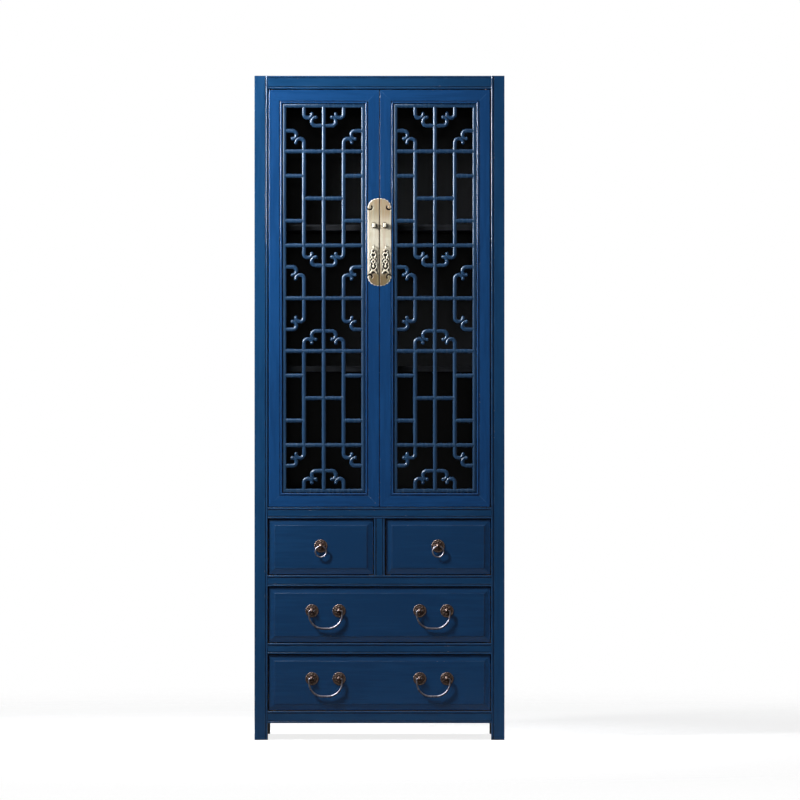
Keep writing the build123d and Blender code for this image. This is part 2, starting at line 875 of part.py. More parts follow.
# ---------------------------------------------------------------- door hardware
with BuildPart() as face_plate:
    with BuildSketch(face_plane(0, door_front_y, plate_z)):
        Rectangle(2 * plate_half_width, plate_body_height)
        for end_sign in (-1, 1):
            with Locations((0, end_sign * (plate_height / 2 - plate_end_radius))):
                Circle(plate_end_radius)
            with Locations((plate_eye_x, end_sign * plate_eye_z)):
                Circle(plate_eye_radius, mode=Mode.SUBTRACT)
            slit_length = plate_end_radius - plate_eye_x
            with Locations((plate_eye_x + slit_length / 2, end_sign * plate_eye_z)):
                Rectangle(slit_length, plate_slit, mode=Mode.SUBTRACT)
        with Locations((door_inner_x - plate_half_width, 0)):
            Rectangle(2 * plate_half_width, plate_height, mode=Mode.SUBTRACT)
    extrude(amount=plate_thickness)
finish_pair(face_plate, "face_plate")

with BuildPart() as lock_lug:
    block(
        (lug_x - lug_width / 2, plate_front_y, lug_z - lug_height / 2),
        (lug_x + lug_width / 2, plate_front_y - lug_length, lug_z + lug_height / 2),
    )
    chamfer(lock_lug.faces().sort_by(Axis.Y)[0].edges(), lug_width / 6)
    with Locations(Location((lug_x, plate_front_y - lug_bore_stand_off, lug_z), (0, 90, 0))):
        Cylinder(lug_bore_radius, lug_width, mode=Mode.SUBTRACT)

staple_y = plate_front_y - staple_stand_off
with BuildPart() as staple:
    with BuildLine():
        Line((drop_x, plate_front_y, drop_pivot_z - staple_radius), (drop_x, staple_y, drop_pivot_z - staple_radius))
        ThreePointArc(
            (drop_x, staple_y, drop_pivot_z - staple_radius),
            (drop_x, staple_y - staple_radius, drop_pivot_z),
            (drop_x, staple_y, drop_pivot_z + staple_radius),
        )
        Line((drop_x, staple_y, drop_pivot_z + staple_radius), (drop_x, plate_front_y, drop_pivot_z + staple_radius))
    with BuildSketch(face_plane(drop_x, plate_front_y, drop_pivot_z - staple_radius)):
        Circle(staple_wire_radius)
    sweep()
finish_group_pair([lock_lug.part, staple.part], "lock_fittings")

with BuildPart() as drop:
    eye_z = drop_pivot_z - staple_radius
    with BuildSketch(face_plane(drop_x, staple_y - drop_thickness / 2, eye_z)):
        for below, aside, radius in drop_discs:
            with Locations((aside, -below), (-aside, -below)):
                Circle(radius)
        for width, height, below in (drop_neck, drop_foot):
            with Locations((0, -below)):
                Rectangle(width, height)
        for below, aside, radius in drop_holes:
            with Locations((aside, -below), (-aside, -below)):
                Circle(radius, mode=Mode.SUBTRACT)
    extrude(amount=-drop_thickness)
finish_pair(drop, "door_drop")

# ---------------------------------------------------------------- drawers


def drawer_front(name, x_low, x_high, z):
    """Raised and fielded front, housed at the back for the tray's sides and bottom."""
    middle_x = (x_low + x_high) / 2
    middle_z = z + drawer_opening_height / 2
    width = x_high - x_low - 2 * drawer_gap
    height = drawer_opening_height - 2 * drawer_gap
    step_y = drawer_front_y + field_rise
    bevel_y = step_y + bevel_drop
    rear_face_y = drawer_front_y + drawer_front_thickness
    field_size = (width - 2 * bevel_width, height - 2 * bevel_width)
    with BuildPart() as front:
        with BuildSketch(face_plane(middle_x, rear_face_y, middle_z)):
            Rectangle(width, height)
        extrude(amount=rear_face_y - bevel_y)
        with BuildSketch(face_plane(middle_x, bevel_y, middle_z)):
            Rectangle(width, height)
        with BuildSketch(face_plane(middle_x, step_y, middle_z)):
            Rectangle(*field_size)
        loft()
        with BuildSketch(face_plane(middle_x, step_y, middle_z)):
            Rectangle(*field_size)
        extrude(amount=field_rise)
        housing_y = rear_face_y - tray_housing_depth
        for corners in tray_side_corners(x_low, x_high, z, housing_y, rear_face_y):
            block(*corners, mode=Mode.SUBTRACT)
        corner, opposite = tray_bottom_corners(x_low, x_high, z)
        block(corner, (opposite[0], rear_face_y, opposite[2]), mode=Mode.SUBTRACT)
    finish(front, name)


def tray_side_corners(x_low, x_high, z, front_end_y, rear_end_y):
    """Corners of a tray's two sides between these two places in depth."""
    low_z = z + tray_slide_gap
    corners = []
    for wall_x, inward in ((x_low + tray_side_gap, 1), (x_high - tray_side_gap, -1)):
        corner = (wall_x, front_end_y, low_z)
        opposite = (wall_x + inward * tray_side_thickness, rear_end_y, low_z + tray_height)
        corners.append((corner, opposite))
    return corners


def tray_bottom_corners(x_low, x_high, z):
    """Corners of a tray's bottom, tongues in the sides and the front included."""
    inset = tray_side_gap + tray_side_thickness - tray_groove_depth
    low_z = z + tray_slide_gap + tray_bottom_rise
    corner = (x_low + inset, drawer_front_y + drawer_front_thickness - tray_groove_depth, low_z)
    opposite = (x_high - inset, rear_rail_y - tray_back_gap, low_z + tray_bottom_thickness)
    return corner, opposite


def drawer_tray(name, x_low, x_high, z):
    """Two sides, a back and a bottom, each its own board."""
    front_end_y = drawer_front_y + drawer_front_thickness - tray_housing_depth
    rear_end_y = rear_rail_y - tray_back_gap
    bottom_corners = tray_bottom_corners(x_low, x_high, z)
    with BuildPart() as bottom:
        block(*bottom_corners)
    boards = [bottom.part]
    for corners in tray_side_corners(x_low, x_high, z, front_end_y, rear_end_y):
        with BuildPart() as board:
            block(*corners)
            add(bottom.part, mode=Mode.SUBTRACT)
        boards.append(board.part)
    back_inset = tray_side_gap + tray_side_thickness
    with BuildPart() as back:
        block(
            (x_low + back_inset, rear_end_y - tray_back_thickness, bottom_corners[1][2]),
            (x_high - back_inset, rear_end_y, z + tray_slide_gap + tray_height - tray_back_drop),
        )
    finish_group(boards + [back.part], name)


# ---------------------------------------------------------------- pulls
pull_y = drawer_front_y - pull_stand_off


def pull_mount(x, z, stud_radius, bore_radius):
    """Rosette and the stud on it, bored across for the ring or bail."""
    plane = Plane(origin=(x, drawer_front_y, z), x_dir=(1, 0, 0), z_dir=(0, 0, -1))
    axis = Axis((x, drawer_front_y, z), (0, -1, 0))
    rim = rosette_radius * 0.86
    waist = rosette_radius * 0.62
    with BuildPart() as rosette:
        with BuildSketch(plane):
            with BuildLine():
                Polyline(
                    (0, 0),
                    (rosette_radius, 0),
                    (rosette_radius, rosette_edge),
                    (rim, rosette_rise * 0.6),
                    (waist, rosette_edge),
                    (stud_radius, rosette_rise),
                    (0, rosette_rise),
                    close=True,
                )
            make_face()
        revolve(axis=axis)
    tip = stud_radius * 0.35
    with BuildPart() as stud:
        with BuildSketch(plane):
            with BuildLine():
                Polyline(
                    (0, rosette_rise),
                    (stud_radius, rosette_rise),
                    (stud_radius, stud_length - tip),
                    (stud_radius - tip, stud_length),
                    (0, stud_length),
                    close=True,
                )
            make_face()
        revolve(axis=axis)
        with Locations(Location((x, pull_y, z), (0, 90, 0))):
            Cylinder(bore_radius, 3 * stud_radius, mode=Mode.SUBTRACT)
    return [rosette.part, stud.part]


def ring_pull(name, x, z):
    """Ring through the bore of a single stud."""
    plate_z_here = z + drawer_opening_height / 2 + ring_pivot_rise
    bore_radius = ring_wire_radius + ring_fit
    finish_group(pull_mount(x, plate_z_here, ring_stud_radius, bore_radius), f"{name}_ring_mount")
    with BuildPart() as ring:
        with Locations(Location((x, pull_y, plate_z_here - ring_radius), (90, 0, 0))):
            Torus(ring_radius, ring_wire_radius)
    finish(ring, f"{name}_ring")


def bail_pull(name, x, z):
    """Drop bail whose two in-turned pins turn in the bores of its studs."""
    half_spacing = bail_stud_spacing / 2
    half_width = half_spacing + bail_shoulder
    pin_end_x = half_spacing - bail_stud_radius - bail_pin_overhang
    shoulder_radius = bail_shoulder - bail_stud_radius - bail_bend_clearance
    with BuildPart() as bail:
        with BuildLine(face_plane(x, pull_y, z)) as path:
            FilletPolyline(
                (-pin_end_x, 0),
                (-half_width, 0),
                (-half_width, -bail_drop),
                (half_width, -bail_drop),
                (half_width, 0),
                (pin_end_x, 0),
                radius=(shoulder_radius, bail_corner_radius, bail_corner_radius, shoulder_radius),
            )
        with BuildSketch(Plane(origin=path.line @ 0, z_dir=path.line % 0)):
            Circle(bail_wire_radius)
        sweep()
    finish(bail, name)


def bail_pair(name, z):
    """Both bails of a wide drawer, and the four rosettes and studs that carry them."""
    pivot_z = z + drawer_opening_height / 2 + bail_pivot_rise
    mounts = []
    for side, side_name in ((-1, "left"), (1, "right")):
        for stud_side in (-1, 1):
            stud_x = side * bail_offset_x + stud_side * bail_stud_spacing / 2
            mounts += pull_mount(stud_x, pivot_z, bail_stud_radius, bail_wire_radius + bail_fit)
        bail_pull(f"{name}_{side_name}_bail", side * bail_offset_x, pivot_z)
    finish_group(mounts, f"{name}_bail_mounts")


for name, x_low, x_high in (
    ("upper_left", -post_x, -divider_half),
    ("upper_right", divider_half, post_x),
):
    drawer_front(f"{name}_drawer_front", x_low, x_high, upper_opening_z)
    drawer_tray(f"{name}_drawer_tray", x_low, x_high, upper_opening_z)
    ring_pull(name, (x_low + x_high) / 2, upper_opening_z)

for name, z in (("middle", middle_opening_z), ("lower", lower_opening_z)):
    drawer_front(f"{name}_drawer_front", -post_x, post_x, z)
    drawer_tray(f"{name}_drawer_tray", -post_x, post_x, z)
    bail_pair(name, z)
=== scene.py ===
"""Looks of a Chinese book cabinet: blue lacquer, latticed doors and aged brass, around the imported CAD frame."""
import math

import bmesh
import bpy
import numpy as np
from mathutils import Matrix, Vector


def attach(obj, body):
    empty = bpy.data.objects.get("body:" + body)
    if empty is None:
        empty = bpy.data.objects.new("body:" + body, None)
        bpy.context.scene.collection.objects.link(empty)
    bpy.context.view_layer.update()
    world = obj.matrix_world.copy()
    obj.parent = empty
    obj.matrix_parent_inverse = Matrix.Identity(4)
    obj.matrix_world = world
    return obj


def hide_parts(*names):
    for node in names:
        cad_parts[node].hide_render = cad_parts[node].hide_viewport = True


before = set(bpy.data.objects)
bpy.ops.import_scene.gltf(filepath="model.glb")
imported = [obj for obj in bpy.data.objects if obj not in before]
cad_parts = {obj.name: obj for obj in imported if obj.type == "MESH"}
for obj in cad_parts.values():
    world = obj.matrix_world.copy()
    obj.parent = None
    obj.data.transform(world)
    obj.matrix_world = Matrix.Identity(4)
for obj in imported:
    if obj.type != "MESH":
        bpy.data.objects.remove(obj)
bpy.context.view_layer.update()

# ---------------------------------------------------------------- sizes, in millimetres
MM = 0.001

# Case and doors
FRONT_Y = -193.5
DOOR_FRONT_Y = -192.5
DRAWER_FRONT_Y = -191.5
PANEL_MIDDLE_X = 338.0
PANEL_MIDDLE_Y = 194.5
INSIDE_FROM_Y = -160.0
TOP_PANEL_MIDDLE_Z = 1846.0
DRAWER_BACK_FROM_Y = -174.5
JOINERY_ARRIS = 0.9
PLAIN_ARRIS = 0.6
TRAY_ARRIS = 0.5
BEARER_ARRIS = 0.4
METAL_ARRIS = 0.3

# Lattice
LATTICE_X = 155.75
LATTICE_Z = 1237.0
LATTICE_FRONT_Y = -189.5
BAR_HALF_WIDTH = 6.0
BAR_DEPTH = 12.0
BAR_CROWN = 5.2
SLIP_HALF_WIDTH = 110.75
SLIP_HALF_HEIGHT = 539.5
LEVEL_BAR_SLACK = 0.05
LEVEL_BAR_BACK_GAP = 0.3
LEVEL_BAR_SINK = 0.1
MIDDLE_BAR_Z = 148.0
OUTER_BAR_Z = 411.6
SIDE_BAR_X = 55.5
MODULE_MIDDLE_Z = 279.8
SHORT_BAR_LEVELS = (216.8, 342.8)

# Stepped cloud arms of the lattice
CLOUD_HALF_WIDTH = 5.6
CLOUD_DEPTH = 10.0
CLOUD_CROWN = 4.6
CLOUD_RECESS = 0.8
CLOUD_FIRST_RUN = 28.0
CLOUD_SECOND_START = 26.4
CLOUD_STEP = 22.0
CLOUD_TURN = 10.5
CLOUD_NECK = 11.0
CLOUD_ROOT = 4.0
CLOUD_HEAD = 5.3
CLOUD_HEAD_PROUD = 0.4
CLOUD_TAPER_FROM = 0.80
CLOUD_TAPER_STEP = 0.02
CLOUD_ARMS = (
    # start, along, across, run, reach
    ((55.5, 533.5), (0, -1), (-1, 0), 50.0, 49.5),
    ((55.5, 142.0), (0, -1), (-1, 0), 50.0, 49.5),
    ((104.75, 469.0), (-1, 0), (0, -1), 49.25, 51.4),
    ((104.75, 87.4), (-1, 0), (0, -1), 49.25, 81.4),
)

# Pulls
PULL_Y = -201.5
BAIL_OFFSET_X = 151.0
BAIL_HALF_SPACING = 38.0
BAIL_HALF_WIDTH = 46.5
BAIL_DROP = 49.5
BAIL_CORNER = 39.0
BAIL_SHOULDER = 3.6
BAIL_PIN_X = 32.4
BAIL_WIRE = 2.1
BAIL_WIRE_SWELL = 0.95
BAIL_SWELL_POWER = 1.5
BAIL_PIVOTS = {"middle": 361.5, "lower": 171.5}
RING_X = 164.25
RING_PIVOT_Z = 543.0
RING_RADIUS = 15.4
RING_WIRE = 2.05
RING_WIRE_SWELL = 0.10
RING_WIRE_SLACK = 0.04
RING_STEPS = 56

# Door hardware
PLATE_Z = 1394.0
PLATE_HALF_WIDTH = 33.0
PLATE_INNER_X = 1.0
PLATE_GRID = (0.5, 34.0, -123.0, 123.0)
PLATE_GRID_STEP = 0.75
PLATE_EDGE_ROUND = 0.9
PLATE_END_Z = 89.0
PLATE_END_HALF_WIDTH = 34.0
PLATE_END_RISE = 34.0
PLATE_SQUARENESS = 2.4
PLATE_NECK = 1.2
SCALLOP_DEPTH = 2.0
SCALLOP_RATE = 11.25
SCALLOP_POWER = 0.7
PLATE_HOOK = (
    (36, 95.0), (31.5, 92.2), (26.6, 90.9), (23.0, 91.8), (20.6, 95.0), (20.4, 98.0), (21.8, 100.8),
)
PLATE_HOOK_HALF_WIDTHS = (1.6, 1.8, 2.0, 2.1, 2.1, 2.1, 1.9)
PLATE_THICKNESS = 1.2
RIM_HIGHLIGHT_FROM = 0.84
RIM_HIGHLIGHT_FULL = 0.93
HOOK_FILL_OVERLAP = 0.4
HOOK_FILL_THICKNESS = 0.4
HOOK_FILL_EDGE_GAP = 0.6
HOOK_FILL_GRID_STEP = 0.5
HOOK_FILL_EDGE_ROUND = 0.1
DROP_X = 17.0
DROP_EYE_Z = 1372.0
DROP_SHADOW_TOP = 13.0
DROP_SHADOW_BOTTOM = 55.0
STAPLE_Y = -197.1
DROP_THICKNESS = 2.4
DROP_PIERCING = 0.7
DROP_GRID = (-13, 13, -67, 5)
DROP_GRID_STEP = 0.5
DROP_EDGE_ROUND = 1.3


def srgb(red, green, blue):
    """Colour written in 0 to 255 steps, as linear red, green, blue and alpha."""
    def linear(value):
        value /= 255
        return value / 12.92 if value <= 0.04045 else ((value + 0.055) / 1.055) ** 2.4
    return (linear(red), linear(green), linear(blue), 1.0)


# ---------------------------------------------------------------- material helpers
OPENNESS_SAMPLES = 6
ARRIS_RANGE = (0.60, 0.92)


def add_node(tree, kind, inputs=None, **settings):
    """Node with its settings, and each input either linked to a socket or given a value."""
    made = tree.nodes.new(kind)
    for key, value in settings.items():
        setattr(made, key, value)
    for key, value in (inputs or {}).items():
        if isinstance(value, bpy.types.NodeSocket):
            tree.links.new(value, made.inputs[key])
        else:
            made.inputs[key].default_value = value
    return made


def new_material(name):
    """Material with an empty tree, its output and its Principled shader."""
    material = bpy.data.materials.new(name)
    material.use_nodes = True
    tree = material.node_tree
    tree.nodes.clear()
    shader = add_node(tree, "ShaderNodeBsdfPrincipled")
    output = add_node(tree, "ShaderNodeOutputMaterial")
    tree.links.new(shader.outputs["BSDF"], output.inputs["Surface"])
    return material, tree, shader


def object_place(tree):
    """Object coordinates, which are places in the frame in metres."""
    return add_node(tree, "ShaderNodeTexCoord").outputs["Object"]


def stretched(tree, place, scale):
    """Coordinates scaled by a different amount along each axis."""
    return add_node(tree, "ShaderNodeMapping", {"Vector": place, "Scale": scale}).outputs[0]


def noise(tree, place, scale, detail=4.0, roughness=0.55):
    """Noise value between about 0.3 and 0.7."""
    return add_node(
        tree, "ShaderNodeTexNoise",
        {"Vector": place, "Scale": scale, "Detail": detail, "Roughness": roughness},
    ).outputs["Fac"]


def remap(tree, value, low, high, to_low=0.0, to_high=1.0):
    """Value from low to high taken smoothly to another range and clamped there."""
    return add_node(
        tree, "ShaderNodeMapRange",
        {"Value": value, "From Min": low, "From Max": high, "To Min": to_low, "To Max": to_high},
        interpolation_type="SMOOTHSTEP",
    ).outputs["Result"]


def math_node(tree, operation, a, b=0.0):
    """One arithmetic step."""
    return add_node(tree, "ShaderNodeMath", {0: a, 1: b}, operation=operation).outputs[0]


def product(tree, *factors):
    """All the factors multiplied."""
    result = factors[0]
    for factor in factors[1:]:
        result = math_node(tree, "MULTIPLY", result, factor)
    return result


def mixed(tree, factor, a, b):
    """Colour between a and b."""
    made = add_node(tree, "ShaderNodeMix", {"Factor": factor}, data_type="RGBA")
    for socket, value in ((made.inputs[6], a), (made.inputs[7], b)):
        if isinstance(value, bpy.types.NodeSocket):
            tree.links.new(value, socket)
        else:
            socket.default_value = value
    return made.outputs[2]


def mixed_value(tree, factor, a, b):
    """Value between a and b."""
    share = math_node(tree, "MULTIPLY", factor, math_node(tree, "SUBTRACT", b, a))
    return math_node(tree, "ADD", share, a)


def openness(tree, reach, **settings):
    """How open a place is, from 0 in a hollow to 1, with its reach in millimetres."""
    return add_node(
        tree, "ShaderNodeAmbientOcclusion", {"Distance": reach * MM}, samples=OPENNESS_SAMPLES, **settings
    ).outputs["AO"]


def edge_mask(tree, reach):
    """1 at an outward arris and 0 away from it."""
    return remap(tree, openness(tree, reach, inside=True, only_local=True), *ARRIS_RANGE, 1.0, 0.0)


def bump(tree, shader, height, strength, distance):
    """Drive the shader's normal from a height, its distance in metres."""
    made = add_node(tree, "ShaderNodeBump", {"Height": height, "Strength": strength, "Distance": distance})
    tree.links.new(made.outputs["Normal"], shader.inputs["Normal"])


# ---------------------------------------------------------------- materials
# Colours. The doors are painted a little lighter and the drawer fronts a little darker than the case, as painted
# light on the upper doors and painted shade on the lower drawers, and the lattice blue is greyed as a painted
# sheen. The near-black blue of the lacquer's hollows, the deep browns of the brass hollows and behind the drops,
# and the dark hook tones are painted shade and shadow. The near-white of the plate's rim is a painted highlight.
CASE_BLUES = (srgb(17, 68, 114), srgb(19, 74, 123))
LIT_DOOR_BLUES = (srgb(17, 71, 128), srgb(19, 78, 139))
SHADED_DRAWER_BLUES = (srgb(17, 65, 112), srgb(19, 71, 121))
LATTICE_BLUES_WITH_SHEEN = (srgb(35, 67, 103), srgb(41, 75, 111))
BLUE_WORN = srgb(88, 136, 186)
HOLLOW_SHADE_BLUE = srgb(6, 17, 36)
CHIP_TONES = (srgb(86, 58, 44), srgb(178, 176, 178))
INSIDE_TONES = (srgb(9, 10, 14), srgb(16, 19, 27))
WOOD_TONES = (srgb(140, 96, 58), srgb(196, 154, 104))
BRONZE_TONES = (srgb(58, 41, 37), srgb(172, 148, 132))
WIRE_TONES = (srgb(98, 90, 96), srgb(212, 210, 216))
HOOK_SHADE_TONES = (srgb(16, 12, 10), srgb(46, 34, 24))
BRASS_TONES = (srgb(219, 209, 184), srgb(232, 226, 206))
BRASS_STREAK = srgb(212, 190, 166)
BRASS_RUBBED_AND_HIGHLIGHT = srgb(254, 250, 240)
BRASS_PAINTED_SHADE = srgb(38, 25, 13)
PLATE_GOLDEN = (srgb(174, 164, 134), srgb(172, 142, 102))
PLATE_DULL = (srgb(132, 119, 82), srgb(130, 106, 68))
PLATE_MEETING_LINE = srgb(104, 76, 42)
PLATE_PAINTED_SHADOW = srgb(34, 24, 14)
PLATE_RIM_HIGHLIGHT = srgb(254, 252, 244)

# Marks of use and painted shade: how far in millimetres from a hollow or an arris they reach. The darkening in
# the hollows of the lacquer and the brass is painted shade, and the bright arrises of the brass are partly
# painted highlight.
LACQUER_SHADE_REACH = 5.0
BRASS_SHADE_REACH = 8.0
BRONZE_HOLLOW_REACH = 5.0
LACQUER_ARRIS_REACH = 2.2
INSIDE_ARRIS_REACH = 2.0
BRONZE_ARRIS_REACH = 1.2
BRASS_ARRIS_REACH = 1.0

# Noise: scale, detail and roughness, and the range that most of its values are in
NOISE_RANGE = (0.3, 0.7)
SLOW_TONE = (2.5, 2.0, 0.5)
BRUSH_LINES = (2.2, 5.0, 0.6)
ORANGE_PEEL = (140.0, 2.0, 0.5)
RUBBED_PLACES = (26.0, 4.0, 0.6)
CHIPPED_PLACES = (9.0, 2.0, 0.5)
CHIPS = (120.0, 4.0, 0.6)
CHIP_TONE = (300.0, 2.0)
INSIDE_WORN_PLACES = (30.0,)
WOOD_FIGURE = (1.0, 6.0, 0.65)
WOOD_PORES = (9.0, 3.0, 0.7)
BRONZE_MOTTLE = (160.0, 5.0, 0.65)
BRASS_CLOUDS = (40.0, 3.0, 0.5)
BRASS_BRUSHED = (1.0, 3.0, 0.6)
BRASS_STREAKS = (1.0, 3.0, 0.55)

# Stretch of the coordinates along each axis, short along the grain
GRAINS = {"x": (4, 60, 60), "y": (60, 4, 60), "z": (60, 60, 4)}
BRUSHED_GRAIN = (700, 700, 9)
STREAK_GRAIN = (150, 150, 9)

# Roughness at the low and the high end of what drives it
LACQUER_ROUGHNESS = (0.15, 0.23)
INSIDE_ROUGHNESS = (0.42, 0.58)
WOOD_ROUGHNESS = (0.62, 0.46)
BRONZE_ROUGHNESS = (0.40, 0.22)
BRASS_ROUGHNESS = (0.46, 0.60)

# Bump: strength, and its distance in metres
LACQUER_BUMP = (0.06, 0.001)
INSIDE_BUMP = (0.12, 0.001)
WOOD_BUMP = (0.25, 0.0008)
BRONZE_BUMP = (0.25, 0.0005)
BRASS_BUMP = (0.08, 0.0004)

# How much of each mark of use, and of the painted shade, shadow and highlight, shows
LACQUER_HOLLOW_SHADE = 0.7
LACQUER_RUBBING = 0.30
LACQUER_CHIPPING = 0.85
CHIP_ROUGHENING = 0.35
INNER_SIDE_ROUGHENING = 0.25
INSIDE_RUBBING = 0.6
BRONZE_RUBBING = 0.65
BRASS_RUB_AND_HIGHLIGHT = 0.45
BRASS_STREAKING = 0.6
BRASS_HOLLOW_SHADE = 0.97
PLATE_GOLD = 0.85
PLATE_MEETING = 0.85
PLATE_SHADOW_STRENGTH = 0.97
PLATE_RIM_HIGHLIGHT_STRENGTH = 0.85

# Zones of a plate, in millimetres from its middle, and of the painted shadow round a drop, from the middle of a
# drop
GOLDEN_END = (52.0, 100.0)
DULL_END = (-88.0, -62.0)
END_WANDER = 20.0
MEETING_LINE = (1.4, 3.0)
DROP_SHADOW_EDGE = (8.5, 11.5)


def wood_colour(tree, place, grain):
    """Planed wood: long grain, pores and slow changes of tone."""
    along = stretched(tree, place, GRAINS[grain])
    figure = noise(tree, along, *WOOD_FIGURE)
    pores = noise(tree, along, *WOOD_PORES)
    tone = math_node(tree, "ADD", figure, product(tree, pores, 0.35))
    return mixed(tree, remap(tree, tone, 0.48, 0.88), *WOOD_TONES), pores


def case_inside_mask(tree, at):
    """1 on the faces that look into the case and 0 on its outside."""
    across = math_node(tree, "ABSOLUTE", at.outputs["X"])
    mask = math_node(tree, "LESS_THAN", across, PANEL_MIDDLE_X * MM)
    for axis, operation, limit in (
        ("Y", "GREATER_THAN", INSIDE_FROM_Y),
        ("Y", "LESS_THAN", PANEL_MIDDLE_Y),
        ("Z", "LESS_THAN", TOP_PANEL_MIDDLE_Z),
    ):
        mask = product(tree, mask, math_node(tree, operation, at.outputs[axis], limit * MM))
    return mask


def lacquer(name, blues, grain, inner=None, wear=0.55, shine=0.5, haze=0.0):
    """Blue lacquer with faint brush lines along the grain, rubbed and chipped along the arrises.

    blues are its deeper and its fuller tone, wear how much of the arrises is chipped,
    shine the weight of its polish and haze how much rougher than polished it is. inner
    says which side of the piece is finished otherwise: "case" for the near-black inside
    of the case, "drawer" for the bare back of a drawer front.
    """
    material, tree, shader = new_material(name)
    place = object_place(tree)
    slow = noise(tree, place, *SLOW_TONE)
    lines = noise(tree, stretched(tree, place, GRAINS[grain]), *BRUSH_LINES)
    tone = math_node(tree, "ADD", product(tree, slow, 0.5), product(tree, lines, 0.5))
    colour = mixed(tree, remap(tree, tone, 0.42, 0.58), *blues)
    # Painted shade: the lacquer darkened towards near-black blue in hollows, creases and between parts.
    hollow = remap(tree, openness(tree, LACQUER_SHADE_REACH), 0.40, 0.88, LACQUER_HOLLOW_SHADE, 0.0)
    colour = mixed(tree, hollow, colour, HOLLOW_SHADE_BLUE)

    edge = edge_mask(tree, LACQUER_ARRIS_REACH)
    rubbing = remap(tree, noise(tree, place, *RUBBED_PLACES), 0.45, 0.66)
    colour = mixed(tree, product(tree, edge, rubbing, LACQUER_RUBBING), colour, BLUE_WORN)
    chips = product(
        tree, remap(tree, noise(tree, place, *CHIPS), 0.59, 0.62),
        remap(tree, noise(tree, place, *CHIPPED_PLACES), 0.52, 0.62), edge, wear,
    )
    chip_colour = mixed(tree, remap(tree, noise(tree, place, *CHIP_TONE), 0.48, 0.56), *CHIP_TONES)
    colour = mixed(tree, product(tree, chips, LACQUER_CHIPPING), colour, chip_colour)

    rough = remap(tree, lines, *NOISE_RANGE, *(value + haze for value in LACQUER_ROUGHNESS))
    rough = math_node(tree, "ADD", rough, product(tree, chips, CHIP_ROUGHENING))
    if inner:
        at = add_node(tree, "ShaderNodeSeparateXYZ", {0: place})
        if inner == "case":
            mask = case_inside_mask(tree, at)
            inside = mixed(tree, remap(tree, tone, 0.38, 0.62), *INSIDE_TONES)
        else:
            mask = math_node(tree, "GREATER_THAN", at.outputs["Y"], DRAWER_BACK_FROM_Y * MM)
            inside = wood_colour(tree, place, grain)[0]
        colour = mixed(tree, mask, colour, inside)
        rough = math_node(tree, "ADD", rough, product(tree, mask, INNER_SIDE_ROUGHENING))
    tree.links.new(colour, shader.inputs["Base Color"])
    tree.links.new(rough, shader.inputs["Roughness"])
    shader.inputs["Specular IOR Level"].default_value = shine
    shader.inputs["Coat Weight"].default_value = shine
    shader.inputs["Coat Roughness"].default_value = 0.1 + haze
    height = math_node(tree, "ADD", product(tree, lines, 0.7), noise(tree, place, *ORANGE_PEEL))
    bump(tree, shader, height, *LACQUER_BUMP)
    return material


def inside_lacquer():
    """Near-black blue lacquer, matt, of the shelves and the floor of the case."""
    material, tree, shader = new_material("inside_lacquer")
    place = object_place(tree)
    lines = noise(tree, stretched(tree, place, GRAINS["x"]), *BRUSH_LINES)
    colour = mixed(tree, remap(tree, lines, 0.38, 0.62), *INSIDE_TONES)
    rubbing = remap(tree, noise(tree, place, *INSIDE_WORN_PLACES), 0.5, 0.7)
    worn = product(tree, edge_mask(tree, INSIDE_ARRIS_REACH), rubbing, INSIDE_RUBBING)
    tree.links.new(mixed(tree, worn, colour, CASE_BLUES[0]), shader.inputs["Base Color"])
    tree.links.new(remap(tree, lines, *NOISE_RANGE, *INSIDE_ROUGHNESS), shader.inputs["Roughness"])
    shader.inputs["Specular IOR Level"].default_value = 0.3
    bump(tree, shader, lines, *INSIDE_BUMP)
    return material


def raw_wood(name, grain):
    """Planed and waxed wood of the drawers and their bearers."""
    material, tree, shader = new_material(name)
    place = object_place(tree)
    colour, pores = wood_colour(tree, place, grain)
    tree.links.new(colour, shader.inputs["Base Color"])
    tree.links.new(remap(tree, pores, *NOISE_RANGE, *WOOD_ROUGHNESS), shader.inputs["Roughness"])
    shader.inputs["Specular IOR Level"].default_value = 0.4
    bump(tree, shader, pores, *WOOD_BUMP)
    return material


def bronze(name, tones, mottling, metal):
    """Aged metal: the darker of two tones in the hollows, the other rubbed bright on the high places."""
    material, tree, shader = new_material(name)
    place = object_place(tree)
    mottle = noise(tree, place, *BRONZE_MOTTLE)
    high = product(tree, edge_mask(tree, BRONZE_ARRIS_REACH), BRONZE_RUBBING)
    shine = math_node(tree, "ADD", high, remap(tree, mottle, 0.42, 0.66, 0.0, mottling))
    open_places = remap(tree, openness(tree, BRONZE_HOLLOW_REACH, only_local=True), 0.45, 0.95)
    shine = product(tree, shine, open_places)
    tree.links.new(mixed(tree, shine, *tones), shader.inputs["Base Color"])
    tree.links.new(remap(tree, shine, 0.1, 0.9, *BRONZE_ROUGHNESS), shader.inputs["Roughness"])
    shader.inputs["Metallic"].default_value = metal
    bump(tree, shader, mottle, BRONZE_BUMP[0] * mottling, BRONZE_BUMP[1])
    return material


